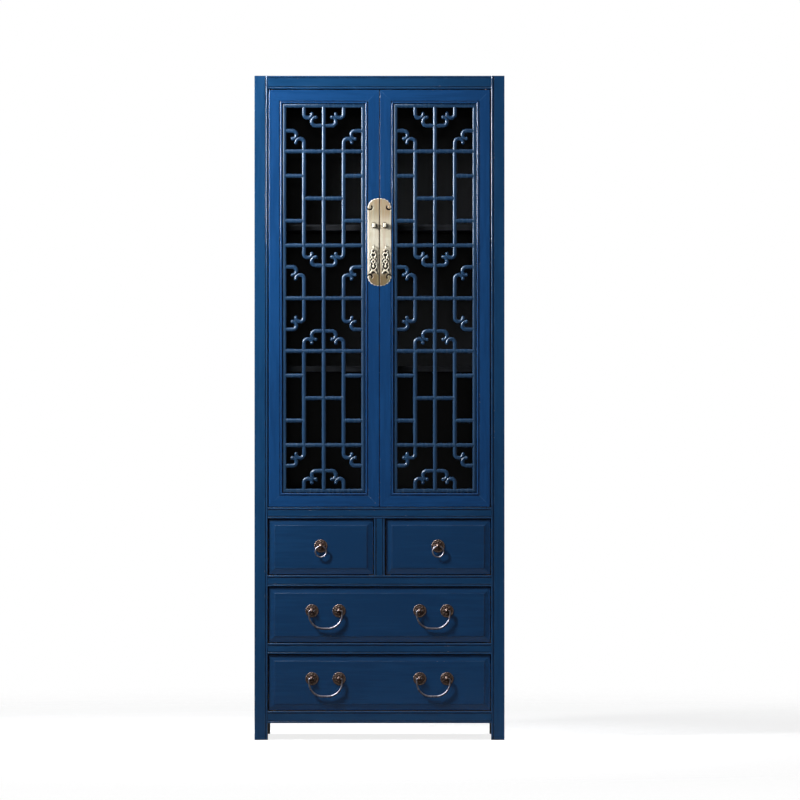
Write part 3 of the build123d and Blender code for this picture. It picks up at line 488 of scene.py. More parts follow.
def plate_zones(tree, place, colour, streaks, clouds):
    """Golden top end, dull bottom end, meeting line, a painted shadow behind the drop and a painted highlight
    along the rim.
    """
    at = add_node(tree, "ShaderNodeSeparateXYZ", {0: place})
    across = math_node(tree, "ABSOLUTE", at.outputs["X"])
    level = math_node(tree, "SUBTRACT", at.outputs["Z"], PLATE_Z * MM)
    up = math_node(tree, "ADD", level, product(tree, clouds, END_WANDER * MM))
    streaked = remap(tree, streaks, 0.40, 0.62)

    def within(value, limits, low, high):
        return remap(tree, value, limits[0] * MM, limits[1] * MM, low, high)

    golden = within(up, GOLDEN_END, 0.0, PLATE_GOLD)
    colour = mixed(tree, golden, colour, mixed(tree, streaked, *PLATE_GOLDEN))
    colour = mixed(tree, within(up, DULL_END, 1.0, 0.0), colour, mixed(tree, streaked, *PLATE_DULL))
    colour = mixed(tree, within(across, MEETING_LINE, PLATE_MEETING, 0.0), colour, PLATE_MEETING_LINE)

    # Painted shadow: the plate darkened to near-black brown behind and round each drop.
    aside = math_node(tree, "SUBTRACT", across, DROP_X * MM)
    over = math_node(tree, "SUBTRACT", at.outputs["Z"], (DROP_EYE_Z - DROP_SHADOW_TOP) * MM)
    under = math_node(tree, "SUBTRACT", (DROP_EYE_Z - DROP_SHADOW_BOTTOM) * MM, at.outputs["Z"])
    beyond = math_node(tree, "MAXIMUM", math_node(tree, "MAXIMUM", over, under), 0.0)
    squares = math_node(tree, "ADD", product(tree, aside, aside), product(tree, beyond, beyond))
    from_drop = math_node(tree, "POWER", squares, 0.5)
    colour = mixed(tree, within(from_drop, DROP_SHADOW_EDGE, PLATE_SHADOW_STRENGTH, 0.0), colour, PLATE_PAINTED_SHADOW)

    # Painted highlight: a near-white band along the rounded ends and the long edges of the plate.
    wide = math_node(tree, "DIVIDE", across, PLATE_HALF_WIDTH * MM)
    wide = math_node(tree, "POWER", wide, PLATE_SQUARENESS)
    rise = math_node(tree, "SUBTRACT", math_node(tree, "ABSOLUTE", level), PLATE_END_Z * MM)
    rise = math_node(tree, "DIVIDE", math_node(tree, "MAXIMUM", rise, 0.0), PLATE_END_RISE * MM)
    rise = math_node(tree, "POWER", rise, PLATE_SQUARENESS)
    rim = remap(tree, math_node(tree, "ADD", wide, rise), RIM_HIGHLIGHT_FROM, RIM_HIGHLIGHT_FULL, 0.0, PLATE_RIM_HIGHLIGHT_STRENGTH)
    return mixed(tree, rim, colour, PLATE_RIM_HIGHLIGHT)


def pale_brass(name, plates=True):
    """Pale brass, brushed upright, with the zones of a plate where it is one."""
    material, tree, shader = new_material(name)
    place = object_place(tree)
    brushed = noise(tree, stretched(tree, place, BRUSHED_GRAIN), *BRASS_BRUSHED)
    streaks = noise(tree, stretched(tree, place, STREAK_GRAIN), *BRASS_STREAKS)
    clouds = noise(tree, place, *BRASS_CLOUDS)
    colour = mixed(tree, remap(tree, clouds, 0.38, 0.66), *BRASS_TONES)
    colour = mixed(tree, remap(tree, streaks, 0.42, 0.66, 0.0, BRASS_STREAKING), colour, BRASS_STREAK)
    if plates:
        colour = plate_zones(tree, place, colour, streaks, clouds)
    # Arrises lightened to near white: partly rubbed brass, partly painted highlight.
    rubbed = product(tree, edge_mask(tree, BRASS_ARRIS_REACH), BRASS_RUB_AND_HIGHLIGHT)
    colour = mixed(tree, rubbed, colour, BRASS_RUBBED_AND_HIGHLIGHT)
    # Painted shade: the brass darkened to deep brown in hollows, round the lugs and staples and between the drop
    # and the plate.
    hollow = remap(tree, openness(tree, BRASS_SHADE_REACH), 0.52, 0.95, BRASS_HOLLOW_SHADE, 0.0)
    tree.links.new(mixed(tree, hollow, colour, BRASS_PAINTED_SHADE), shader.inputs["Base Color"])
    tree.links.new(remap(tree, brushed, *NOISE_RANGE, *BRASS_ROUGHNESS), shader.inputs["Roughness"])
    shader.inputs["Metallic"].default_value = 0.2 if plates else 0.4
    bump(tree, shader, math_node(tree, "ADD", brushed, clouds), *BRASS_BUMP)
    return material


MATERIALS = {
    "upright": lacquer("lacquer_upright", LIT_DOOR_BLUES, "z"),
    "level": lacquer("lacquer_level", LIT_DOOR_BLUES, "x"),
    "lattice": lacquer("lacquer_lattice", LATTICE_BLUES_WITH_SHEEN, "z", wear=0.3, shine=0.26, haze=0.07),
    "case_upright": lacquer("lacquer_case_upright", CASE_BLUES, "z", inner="case"),
    "case_level": lacquer("lacquer_case_level", CASE_BLUES, "x", inner="case"),
    "case_deep": lacquer("lacquer_case_deep", CASE_BLUES, "y", inner="case"),
    "front": lacquer("lacquer_drawer_front", SHADED_DRAWER_BLUES, "x", inner="drawer"),
    "inside": inside_lacquer(),
    "wood": raw_wood("raw_wood_deep", "y"),
    "bronze": bronze("bronze", BRONZE_TONES, mottling=0.36, metal=0.8),
    "wire": bronze("bronze_wire", WIRE_TONES, mottling=0.3, metal=0.95),
    "painted_shade_sheet": bronze("painted_shade_sheet", HOOK_SHADE_TONES, mottling=0.2, metal=0.0),
    "plate": pale_brass("pale_brass_plate"),
    "fitting": pale_brass("pale_brass_fitting", plates=False),
}


# ---------------------------------------------------------------- mesh helpers
SHARP_ANGLE = 38
RELIEF_SHARP_ANGLE = 50
WELD_REACH = 0.01


def add_piece(name, bm, body, material, nodes=(), sharp=SHARP_ANGLE):
    """Turn a bmesh in millimetres into a piece that rides on its body."""
    bmesh.ops.recalc_face_normals(bm, faces=bm.faces)
    mesh = bpy.data.meshes.new(name)
    bm.to_mesh(mesh)
    bm.free()
    mesh.transform(Matrix.Scale(MM, 4))
    for polygon in mesh.polygons:
        polygon.use_smooth = True
    mesh.set_sharp_from_angle(angle=math.radians(sharp))
    mesh.materials.append(MATERIALS[material])
    piece = bpy.data.objects.new(name, mesh)
    bpy.context.scene.collection.objects.link(piece)
    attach(piece, body)
    if nodes:
        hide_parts(*nodes)


def dress(node, material, arris=PLAIN_ARRIS):
    """Give a CAD node its material and softly rounded arrises."""
    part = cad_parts[node]
    if not part.material_slots:
        part.data.materials.append(MATERIALS[material])
    for held in part.material_slots:
        held.material = MATERIALS[material]
    weld = part.modifiers.new("weld", "WELD")
    weld.merge_threshold = WELD_REACH * MM
    bevel = part.modifiers.new("arrises", "BEVEL")
    bevel.width = arris * MM
    bevel.segments = 2
    bevel.limit_method = "ANGLE"
    bevel.angle_limit = math.radians(SHARP_ANGLE)
    part.modifiers.new("normals", "WEIGHTED_NORMAL")


def half_round(half_width, depth, crown, steps=12):
    """Half-round section: (across, behind the crown), from one back corner to the other."""
    points = [(-half_width, depth)]
    for step in range(steps + 1):
        angle = math.pi * step / steps
        points.append((-half_width * math.cos(angle), crown * (1 - math.sin(angle))))
    points.append((half_width, depth))
    return points


def rounded_path(corners, radii, steps=7):
    """Path through corners in a plane, each inner corner turned by an arc."""
    points = [Vector(corners[0])]
    for before, corner, after, radius in zip(corners, corners[1:], corners[2:], radii):
        corner = Vector(corner)
        back = (Vector(before) - corner).normalized()
        on = (Vector(after) - corner).normalized()
        half_turn = back.angle(on) / 2
        centre = corner + (back + on).normalized() * radius / math.sin(half_turn)
        first = corner + back * radius / math.tan(half_turn) - centre
        last = corner + on * radius / math.tan(half_turn) - centre
        sweep = first.angle_signed(last)
        for step in range(steps + 1):
            turn = Matrix.Rotation(-sweep * step / steps, 2)
            points.append(centre + turn @ first)
    points.append(Vector(corners[-1]))
    return points


STEEPEST_MITRE = 0.35


def side_directions(path, closed):
    """Direction across a plane path at each point, stretched at mitres."""
    sides = []
    count = len(path)
    for i, here in enumerate(path):
        steps = []
        if closed or i > 0:
            steps.append((here - path[i - 1]).normalized())
        if closed or i < count - 1:
            steps.append((path[(i + 1) % count] - here).normalized())
        tangent = sum(steps, Vector((0, 0))).normalized()
        side = Vector((-tangent.y, tangent.x))
        first_side = Vector((-steps[0].y, steps[0].x))
        sides.append(side / max(STEEPEST_MITRE, side.dot(first_side)))
    return sides


def join_rings(bm, rings, closed):
    """Skin a list of vertex rings of one size and cap the ends of an open one."""
    pairs = list(zip(rings, rings[1:]))
    if closed:
        pairs.append((rings[-1], rings[0]))
    for low, high in pairs:
        for i in range(len(low)):
            j = (i + 1) % len(low)
            bm.faces.new((low[i], low[j], high[j], high[i]))
    if not closed:
        bm.faces.new(list(reversed(rings[0])))
        bm.faces.new(rings[-1])


def sweep_in_face(bm, path, section, crown_y, closed=False, widths=None):
    """Sweep a section along a path of (x, z) points in a plane of constant y."""
    rings = []
    for here, side, width in zip(path, side_directions(path, closed), widths or [1.0] * len(path)):
        rings.append([
            bm.verts.new((here.x + side.x * across * width, crown_y + behind, here.y + side.y * across * width))
            for across, behind in section
        ])
    join_rings(bm, rings, closed)


def sweep_wire(bm, path, radii, centre_y, closed=False, sides=14):
    """Round wire along a path of (x, z) points in a plane of constant y, its radius varying."""
    rings = []
    for here, side, radius in zip(path, side_directions(path, closed), radii):
        ring = []
        for step in range(sides):
            angle = 2 * math.pi * step / sides
            across = radius * math.cos(angle)
            ring.append(bm.verts.new((
                here.x + side.x * across, centre_y + radius * math.sin(angle), here.y + side.y * across
            )))
        rings.append(ring)
    join_rings(bm, rings, closed)


def ellipsoid(bm, centre, radii, segments=16):
    """Egg of three radii about a centre."""
    matrix = Matrix.Translation(centre) @ Matrix.Diagonal((*radii, 1))
    bmesh.ops.create_uvsphere(bm, u_segments=segments, v_segments=segments // 2, radius=1, matrix=matrix)


def revolve_front(bm, x, z, face_y, profile, steps, ripple=None):
    """Turn a profile of (radius, rise) about the axis that stands out of a front face."""
    rings = []
    for radius, rise in profile:
        ring = []
        for step in range(steps):
            angle = 2 * math.pi * step / steps
            r, h = (radius, rise) if ripple is None else ripple(radius, rise, angle)
            ring.append(bm.verts.new((x + r * math.cos(angle), face_y - h, z + r * math.sin(angle))))
        rings.append(ring)
    join_rings(bm, rings, closed=False)


GRID_SNAP = 0.02
CROSSING_MARGIN = 0.03
EDGE_FALL = 0.8


def relief(bm, signed_distance, grid, step, face_y, thickness, edge_round):
    """Plate of any outline, from a field that is negative inside it, with rounded edges.

    grid is (x_low, x_high, z_low, z_high) and step the width of its cells, face_y is the
    plane that the back of the plate lies on, and the front stands out of it towards -Y.
    """
    x_low, x_high, z_low, z_high = grid
    xs = np.arange(x_low, x_high + step, step)
    zs = np.arange(z_low, z_high + step, step)
    grid_x, grid_z = np.meshgrid(xs, zs, indexing="ij")
    field = signed_distance(grid_x, grid_z)
    field[np.abs(field) < step * GRID_SNAP] = -step * GRID_SNAP
    front, back = {}, {}

    def vertex(key, x, z, inside):
        if key not in front:
            reach = min(1.0, max(0.0, -inside / edge_round))
            rise = edge_round * EDGE_FALL * (1 - math.sqrt(max(0.0, 1 - (1 - reach) ** 2)))
            front[key] = bm.verts.new((x, face_y - thickness + rise, z))
            back[key] = bm.verts.new((x, face_y, z))
        return key

    def crossing(i, j, k, l):
        """Point on the grid edge from (i, j) to (k, l) where the outline passes."""
        share = field[i, j] / (field[i, j] - field[k, l])
        share = min(1 - CROSSING_MARGIN, max(CROSSING_MARGIN, share))
        x = xs[i] + (xs[k] - xs[i]) * share
        z = zs[j] + (zs[l] - zs[j]) * share
        return vertex(((i, j), (k, l)), x, z, 0.0)

    edge_count = {}
    for i in range(len(xs) - 1):
        for j in range(len(zs) - 1):
            corners = [(i, j), (i + 1, j), (i + 1, j + 1), (i, j + 1)]
            if all(field[c] > 0 for c in corners):
                continue
            loop = []
            for n, here in enumerate(corners):
                after = corners[(n + 1) % 4]
                if field[here] <= 0:
                    loop.append(vertex(here, xs[here[0]], zs[here[1]], field[here]))
                if (field[here] <= 0) != (field[after] <= 0):
                    first, last = sorted((here, after))
                    loop.append(crossing(*first, *last))
            if len(loop) < 3:
                continue
            bm.faces.new([front[key] for key in loop])
            bm.faces.new([back[key] for key in reversed(loop)])
            for n, key in enumerate(loop):
                after = loop[(n + 1) % len(loop)]
                edge = frozenset((key, after))
                edge_count.setdefault(edge, []).append((key, after))
    for uses in edge_count.values():
        if len(uses) == 1:
            key, after = uses[0]
            bm.faces.new((front[after], front[key], back[key], back[after]))


# ---------------------------------------------------------------- signed distances
FAR_AWAY = 1e3


def disc(x, z, centre_x, centre_z, radius):
    """Distance to a round disc."""
    return np.hypot(x - centre_x, z - centre_z) - radius


def slab(x, z, x_low, x_high, z_low, z_high):
    """Distance to an upright rectangle."""
    across = np.maximum(x_low - x, x - x_high)
    up = np.maximum(z_low - z, z - z_high)
    outside = np.hypot(np.maximum(across, 0), np.maximum(up, 0))
    return outside + np.minimum(np.maximum(across, up), 0)


def stroke(x, z, points, half_widths):
    """Distance to a run of straight strokes whose half width changes along it."""
    nearest = np.full(x.shape, FAR_AWAY)
    for (ax, az), (bx, bz), wa, wb in zip(points, points[1:], half_widths, half_widths[1:]):
        length = max(1e-9, (bx - ax) ** 2 + (bz - az) ** 2)
        share = np.clip(((x - ax) * (bx - ax) + (z - az) * (bz - az)) / length, 0, 1)
        distance = np.hypot(x - ax - share * (bx - ax), z - az - share * (bz - az))
        nearest = np.minimum(nearest, distance - (wa + (wb - wa) * share))
    return nearest


def blended(a, b, reach):
    """Union of two distances with a soft fillet between them."""
    mix = np.clip(0.5 + 0.5 * (b - a) / reach, 0, 1)
    return b * (1 - mix) + a * mix - reach * mix * (1 - mix)


# ---------------------------------------------------------------- lattice
def lattice_point(side, x, z):
    """Place in the front of a lattice measured from its middle."""
    return Vector((side * (LATTICE_X + x), LATTICE_Z + z))


def build_lattice(side_name, side):
    """Slip frame, bars and stepped cloud arms of one door."""
    body = f"{side_name}_door"
    section = half_round(BAR_HALF_WIDTH, BAR_DEPTH, BAR_CROWN)
    level_section = half_round(BAR_HALF_WIDTH - LEVEL_BAR_SLACK, BAR_DEPTH - LEVEL_BAR_BACK_GAP, BAR_CROWN)

    bm = bmesh.new()
    corners = [(-1, -1), (1, -1), (1, 1), (-1, 1)]
    path = [lattice_point(side, sx * SLIP_HALF_WIDTH, sz * SLIP_HALF_HEIGHT) for sx, sz in corners]
    sweep_in_face(bm, path, section, LATTICE_FRONT_Y, closed=True)
    add_piece(f"{side_name}_lattice_slip", bm, body, "lattice", [f"{side_name}_lattice_frame"])

    bm = bmesh.new()

    def upright_bar(x, z_low, z_high):
        ends = [lattice_point(side, x, z_low), lattice_point(side, x, z_high)]
        sweep_in_face(bm, ends, section, LATTICE_FRONT_Y)

    def level_bar(x_low, x_high, z):
        ends = [lattice_point(side, x_low, z), lattice_point(side, x_high, z)]
        sweep_in_face(bm, ends, level_section, LATTICE_FRONT_Y + LEVEL_BAR_SINK)

    upright_bar(0, -SLIP_HALF_HEIGHT, SLIP_HALF_HEIGHT)
    for z in (-OUTER_BAR_Z, -MIDDLE_BAR_Z, 0, MIDDLE_BAR_Z, OUTER_BAR_Z):
        level_bar(-SLIP_HALF_WIDTH, SLIP_HALF_WIDTH, z)
    for up in (-1, 1):
        for across in (-1, 1):
            upright_bar(across * SIDE_BAR_X, up * MIDDLE_BAR_Z, up * OUTER_BAR_Z)
            for z in SHORT_BAR_LEVELS:
                level_bar(across * SIDE_BAR_X, across * SLIP_HALF_WIDTH, up * z)
        level_bar(-SIDE_BAR_X, SIDE_BAR_X, up * MODULE_MIDDLE_Z)
    add_piece(f"{side_name}_lattice_work", bm, body, "lattice", [f"{side_name}_lattice_bars"])

    bm = bmesh.new()
    arm_section = half_round(CLOUD_HALF_WIDTH, CLOUD_DEPTH, CLOUD_CROWN)
    crown_y = LATTICE_FRONT_Y + CLOUD_RECESS
    for start, along, across, run, reach in CLOUD_ARMS:
        for flip_x in (-1, 1):
            for flip_z in (-1, 1):
                def place(a, c):
                    x = start[0] + along[0] * a + across[0] * c
                    z = start[1] + along[1] * a + across[1] * c
                    return lattice_point(side, flip_x * x, flip_z * z)

                heads = (
                    place(CLOUD_FIRST_RUN - CLOUD_NECK, CLOUD_STEP),
                    place(CLOUD_SECOND_START, CLOUD_STEP + CLOUD_NECK),
                )
                strokes = (
                    (heads[0], place(CLOUD_FIRST_RUN, CLOUD_STEP),
                     place(CLOUD_FIRST_RUN, 0), place(-CLOUD_ROOT, 0)),
                    (heads[1], place(CLOUD_SECOND_START, CLOUD_STEP),
                     place(run, CLOUD_STEP), place(run, reach + CLOUD_ROOT)),
                )
                for corners in strokes:
                    path = rounded_path(corners, [CLOUD_TURN, CLOUD_TURN])
                    widths = [min(1.0, CLOUD_TAPER_FROM + CLOUD_TAPER_STEP * step) for step in range(len(path))]
                    sweep_in_face(bm, path, arm_section, crown_y, widths=widths)
                for head in heads:
                    centre = Vector((head.x, crown_y + CLOUD_DEPTH / 2, head.y))
                    ellipsoid(bm, centre, (CLOUD_HEAD, CLOUD_DEPTH / 2 + CLOUD_HEAD_PROUD, CLOUD_HEAD))
    add_piece(f"{side_name}_lattice_scrolls", bm, body, "lattice", [f"{side_name}_lattice_clouds"])


# ---------------------------------------------------------------- door plates and drops
def plate_field(x, z):
    """Right half of the door plate, about the middle of its height."""
    shape = slab(x, z, -PLATE_HALF_WIDTH, PLATE_HALF_WIDTH, -PLATE_END_Z, PLATE_END_Z)
    for end in (-1, 1):
        rise = np.maximum(end * z - PLATE_END_Z, 0)
        angle = np.arctan2(x, rise)
        share = (np.abs(x / PLATE_END_HALF_WIDTH) ** PLATE_SQUARENESS
                 + (rise / PLATE_END_RISE) ** PLATE_SQUARENESS) ** (1 / PLATE_SQUARENESS)
        scallops = SCALLOP_DEPTH * (1 - np.abs(np.sin(angle * SCALLOP_RATE)) ** SCALLOP_POWER)
        lobe = (share - 1) * PLATE_END_RISE + scallops
        shape = np.minimum(shape, np.maximum(lobe, PLATE_END_Z - end * z))
        neck_x = PLATE_HALF_WIDTH - PLATE_NECK
        neck = slab(x, end * z, -neck_x, neck_x, PLATE_END_Z - 2 * PLATE_NECK, PLATE_END_Z + 2 * PLATE_NECK)
        shape = np.minimum(shape, neck)
        curl = [(px, end * pz) for px, pz in PLATE_HOOK]
        shape = np.maximum(shape, -stroke(x, z, curl, PLATE_HOOK_HALF_WIDTHS))
    return np.maximum(shape, PLATE_INNER_X - x)


def hook_shade_field(x, z):
    """Painted shade: a dark sheet in the hooks of the plate, a little under its edges."""
    shape = np.full(x.shape, FAR_AWAY)
    for end in (-1, 1):
        curl = [(px, end * pz) for px, pz in PLATE_HOOK]
        shape = np.minimum(shape, stroke(x, z, curl, PLATE_HOOK_HALF_WIDTHS))
    return np.maximum(shape - HOOK_FILL_OVERLAP, x - PLATE_HALF_WIDTH + HOOK_FILL_EDGE_GAP)


# Right half of the drop about its eye. Each form has its numbers and the reach of its fillet to
# the forms before it. A disc gives its centre and radius, a slab its lowest and highest x and z,
# and a stroke its points and half widths.
DROP_RING = (0, -2.6, 5.6)
DROP_FORMS = (
    (disc, (0, -14.0, 8.4), 2.4),
    (slab, (-5.4, 5.4, -25, -18), 1.5),
    (disc, (6.2, -25.4, 3.9), 1.8),
    (disc, (0, -31, 7.4), 1.5),
    (disc, (6.2, -36.6, 4.2), 1.8),
    (disc, (0, -44.6, 10.2), 2.0),
    (disc, (0, -51.4, 6.6), 2.0),
    (stroke, (((0, -56.5), (5.0, -59.4), (9.4, -64.4)), (2.6, 2.3, 1.7)), 1.6),
)
DROP_HEART = ((2.7, -13.2, 2.1), (0, -16.4, 2.2))
DROP_HEART_FILLET = 2.6
DROP_HOLES = (
    (disc, (0, -3.4, 2.7)),
    (slab, (-0.9, 0.9, -24.6, -20.8)),
    (disc, (5.0, -26.2, 1.9)),
    (disc, (0, -32.8, 2.1)),
    (disc, (8.6, -30.8, 2.2)),
    (stroke, (((3.4, -38.8), (7.2, -36.4)), (1.2, 1.2))),
    (stroke, (((2.9, -41.9), (5.6, -42.4), (6.7, -45.4), (3.9, -50.4), (0, -53.2)), (1.2, 1.4, 1.5, 1.5, 1.4))),
)


def drop_field(x, z):
    """Pierced drop, its eye at the origin, from ring, heart, knot, gourd and two spread feet."""
    x = np.abs(x)
    shape = disc(x, z, *DROP_RING)
    for form, numbers, fillet in DROP_FORMS:
        shape = blended(shape, form(x, z, *numbers), fillet)
    lobe, point = (disc(x, z, *numbers) for numbers in DROP_HEART)
    holes = blended(lobe, point, DROP_HEART_FILLET)
    for form, numbers in DROP_HOLES:
        holes = np.minimum(holes, form(x, z, *numbers))
    return np.maximum(shape, DROP_PIERCING - holes)


def build_door_hardware(side_name, side):
    """Half of the round-ended plate, a dark sheet of painted shade in its hooks, and its pierced drop."""
    def half_plate(field, step, thickness, edge_round):
        bm = bmesh.new()
        relief(bm, field, PLATE_GRID, step, DOOR_FRONT_Y, thickness, edge_round)
        bmesh.ops.transform(bm, matrix=Matrix.Diagonal((side, 1, 1, 1)), verts=bm.verts)
        bmesh.ops.translate(bm, vec=(0, 0, PLATE_Z), verts=bm.verts)
        return bm

    bm = half_plate(plate_field, PLATE_GRID_STEP, PLATE_THICKNESS, PLATE_EDGE_ROUND)
    add_piece(f"{side_name}_door_plate", bm, f"{side_name}_door", "plate",
              [f"{side_name}_face_plate"], sharp=RELIEF_SHARP_ANGLE)
    # Painted shade: a thin dark sheet in the cut hooks, where the lacquer behind lies in shade.
    bm = half_plate(hook_shade_field, HOOK_FILL_GRID_STEP, HOOK_FILL_THICKNESS, HOOK_FILL_EDGE_ROUND)
    add_piece(f"{side_name}_plate_hook_shade_sheet", bm, f"{side_name}_door", "painted_shade_sheet", sharp=RELIEF_SHARP_ANGLE)

    bm = bmesh.new()
    back_y = STAPLE_Y + DROP_THICKNESS / 2
    relief(bm, drop_field, DROP_GRID, DROP_GRID_STEP, back_y, DROP_THICKNESS, DROP_EDGE_ROUND)
    bmesh.ops.translate(bm, vec=(side * DROP_X, 0, DROP_EYE_Z), verts=bm.verts)
    add_piece(f"{side_name}_pierced_drop", bm, f"{side_name}_drop", "fitting",
              [f"{side_name}_door_drop"], sharp=RELIEF_SHARP_ANGLE)


# ---------------------------------------------------------------- pulls
ROSETTE_PROFILE = (
    (18.5, 0.0), (18.5, 0.9), (18.2, 1.7), (17.5, 2.2), (16.7, 2.0), (16.1, 1.2), (15.3, 0.9), (14.2, 1.2),
    (12.6, 1.9), (10.6, 2.6), (8.8, 2.8), (7.8, 2.2), (7.0, 1.7), (6.2, 2.0), (5.2, 3.2), (3.4, 3.8),
)
STUD_PROFILE = (
    (4.4, 3.4), (3.9, 4.2), (3.0, 4.9), (2.9, 5.6), (3.6, 6.3), (4.5, 7.7), (4.9, 9.4), (4.9, 10.8),
    (4.5, 12.4), (3.6, 13.7), (2.3, 14.6), (1.0, 14.95),
)
PETALS = 8
PETAL_INNER = 7.4
PETAL_GROOVE = 0.45
PETAL_FULLNESS = 0.6
RIM_BEADS = 22
RIM_INNER = 15.8
BEAD_NOTCH = 0.5
BEAD_GROOVE = 0.30
ROSETTE_STEPS = 132
STUD_STEPS = 24


def petal(radius, rise, angle):
    """Bead the rim, and groove the field inside it into petals."""
    if radius > RIM_INNER:
        beads = abs(math.cos(angle * RIM_BEADS / 2))
        return radius - BEAD_NOTCH * (1 - beads), rise * (1 - BEAD_GROOVE * (1 - beads))
    if radius > PETAL_INNER:
        lobes = abs(math.cos(angle * PETALS / 2))
        share = (radius - PETAL_INNER) / (RIM_INNER - PETAL_INNER)
        rise *= 1 - PETAL_GROOVE * (1 - lobes) * math.sin(math.pi * share) ** PETAL_FULLNESS
    return radius, rise


def pull_mount(bm, x, z):
    """Rosette and the ball stud on it."""
    revolve_front(bm, x, z, DRAWER_FRONT_Y, ROSETTE_PROFILE, steps=ROSETTE_STEPS, ripple=petal)
    revolve_front(bm, x, z, DRAWER_FRONT_Y, STUD_PROFILE, steps=STUD_STEPS)


def build_ring_pull(name, side):
    """Rosette, stud and hanging ring of a small drawer."""
    bm = bmesh.new()
    x = side * RING_X
    pull_mount(bm, x, RING_PIVOT_Z)
    add_piece(f"{name}_ring_rosette", bm, f"{name}_drawer", "bronze", [f"{name}_ring_mount"])
    bm = bmesh.new()
    centre_z = RING_PIVOT_Z - RING_RADIUS
    path = []
    radii = []
    for step in range(RING_STEPS):
        angle = 2 * math.pi * step / RING_STEPS
        path.append(Vector((x + RING_RADIUS * math.sin(angle), centre_z + RING_RADIUS * math.cos(angle))))
        radii.append(RING_WIRE * (1.0 - RING_WIRE_SWELL * math.cos(angle)) - RING_WIRE_SLACK)
    sweep_wire(bm, path, radii, PULL_Y, closed=True)
    add_piece(f"{name}_pull_ring", bm, f"{name}_ring", "wire", [f"{name}_ring"])


def build_bails(name):
    """Rosettes and studs of a wide drawer, with its two bails."""
    pivot_z = BAIL_PIVOTS[name]
    bm = bmesh.new()
    for side in (-1, 1):
        for stud_side in (-1, 1):
            pull_mount(bm, side * BAIL_OFFSET_X + stud_side * BAIL_HALF_SPACING, pivot_z)
    add_piece(f"{name}_bail_rosettes", bm, f"{name}_drawer", "bronze", [f"{name}_bail_mounts"])
    corners = [
        (-BAIL_PIN_X, 0), (-BAIL_HALF_WIDTH, 0), (-BAIL_HALF_WIDTH, -BAIL_DROP),
        (BAIL_HALF_WIDTH, -BAIL_DROP), (BAIL_HALF_WIDTH, 0), (BAIL_PIN_X, 0),
    ]
    shape = rounded_path(corners, (BAIL_SHOULDER, BAIL_CORNER, BAIL_CORNER, BAIL_SHOULDER), steps=14)
    for side_name, side in (("left", -1), ("right", 1)):
        bm = bmesh.new()
        radii = [BAIL_WIRE + BAIL_WIRE_SWELL * (min(1.0, -p.y / BAIL_DROP)) ** BAIL_SWELL_POWER for p in shape]
        path = [Vector((side * BAIL_OFFSET_X + p.x, pivot_z + p.y)) for p in shape]
        sweep_wire(bm, path, radii, PULL_Y, sides=16)
        add_piece(f"{name}_{side_name}_bail_pull", bm, f"{name}_{side_name}_bail", "wire",
                  [f"{name}_{side_name}_bail"])


# ---------------------------------------------------------------- dressing of the CAD nodes
CASE_DRESS = {
    "left_front_post": "case_upright", "right_front_post": "case_upright", "rear_posts": "case_upright",
    "top_rail": "case_level", "door_rail": "case_level", "upper_drawer_rail": "case_level",
    "lower_drawer_rail": "case_level", "bottom_rail": "case_level", "drawer_divider": "case_upright",
    "top_panel": "case_level", "side_rails": "case_deep", "side_panels": "case_upright",
    "rear_rails": "case_level", "back_panels": "case_upright",
}

for node, material in CASE_DRESS.items():
    dress(node, material, arris=JOINERY_ARRIS)
for node in ("compartment_floor", "lower_shelf", "upper_shelf", "shelf_cleats", "door_stops"):
    dress(node, "inside")
for node in ("drawer_runners", "drawer_guides"):
    dress(node, "wood", arris=BEARER_ARRIS)
dress("pivot_sockets", "bronze", arris=METAL_ARRIS)

for side_name, side in (("left", -1), ("right", 1)):
    dress(f"{side_name}_door_outer_stile", "upright", arris=JOINERY_ARRIS)
    dress(f"{side_name}_door_inner_stile", "upright", arris=JOINERY_ARRIS)
    dress(f"{side_name}_door_rails", "level", arris=JOINERY_ARRIS)
    dress(f"{side_name}_pivot_pins", "bronze", arris=METAL_ARRIS)
    dress(f"{side_name}_lock_fittings", "fitting", arris=METAL_ARRIS)
    build_lattice(side_name, side)
    build_door_hardware(side_name, side)

for name in ("upper_left", "upper_right", "middle", "lower"):
    dress(f"{name}_drawer_front", "front", arris=JOINERY_ARRIS)
    dress(f"{name}_drawer_tray", "wood", arris=TRAY_ARRIS)
for name, side in (("upper_left", -1), ("upper_right", 1)):
    build_ring_pull(name, side)
for name in ("middle", "lower"):
    build_bails(name)


# ---------------------------------------------------------------- floor, world and lights
# Strength of the world as light, and in reflections of the front and of what lies low
AMBIENT = 0.07
# Its strength in reflections of the sides and the rear, of what is overhead and of what lies low behind
AROUND = 0.6
ABOVE = 1.0
BEHIND = 0.3
# Where one part of the world fades into the next, as parts of a unit direction
FRONT_FADE = (-0.75, -0.15)
LOW_FADE = (-0.25, 0.05)
HIGH_FADE = (0.60, 0.95)
REAR_FADE = (0.0, 0.45)

# Floor, in metres: its size, the ring in which it fades away, and its strength and tint
FLOOR_RADIUS = 6.0
FLOOR_SEGMENTS = 96
FLOOR_FADE = (0.9, 3.6)
FLOOR_GLOW = 0.83
FLOOR_MIRRORED = 0.1
FLOOR_TINT = srgb(172, 173, 175)
FLOOR_TINT_MIRRORED = srgb(90, 90, 92)


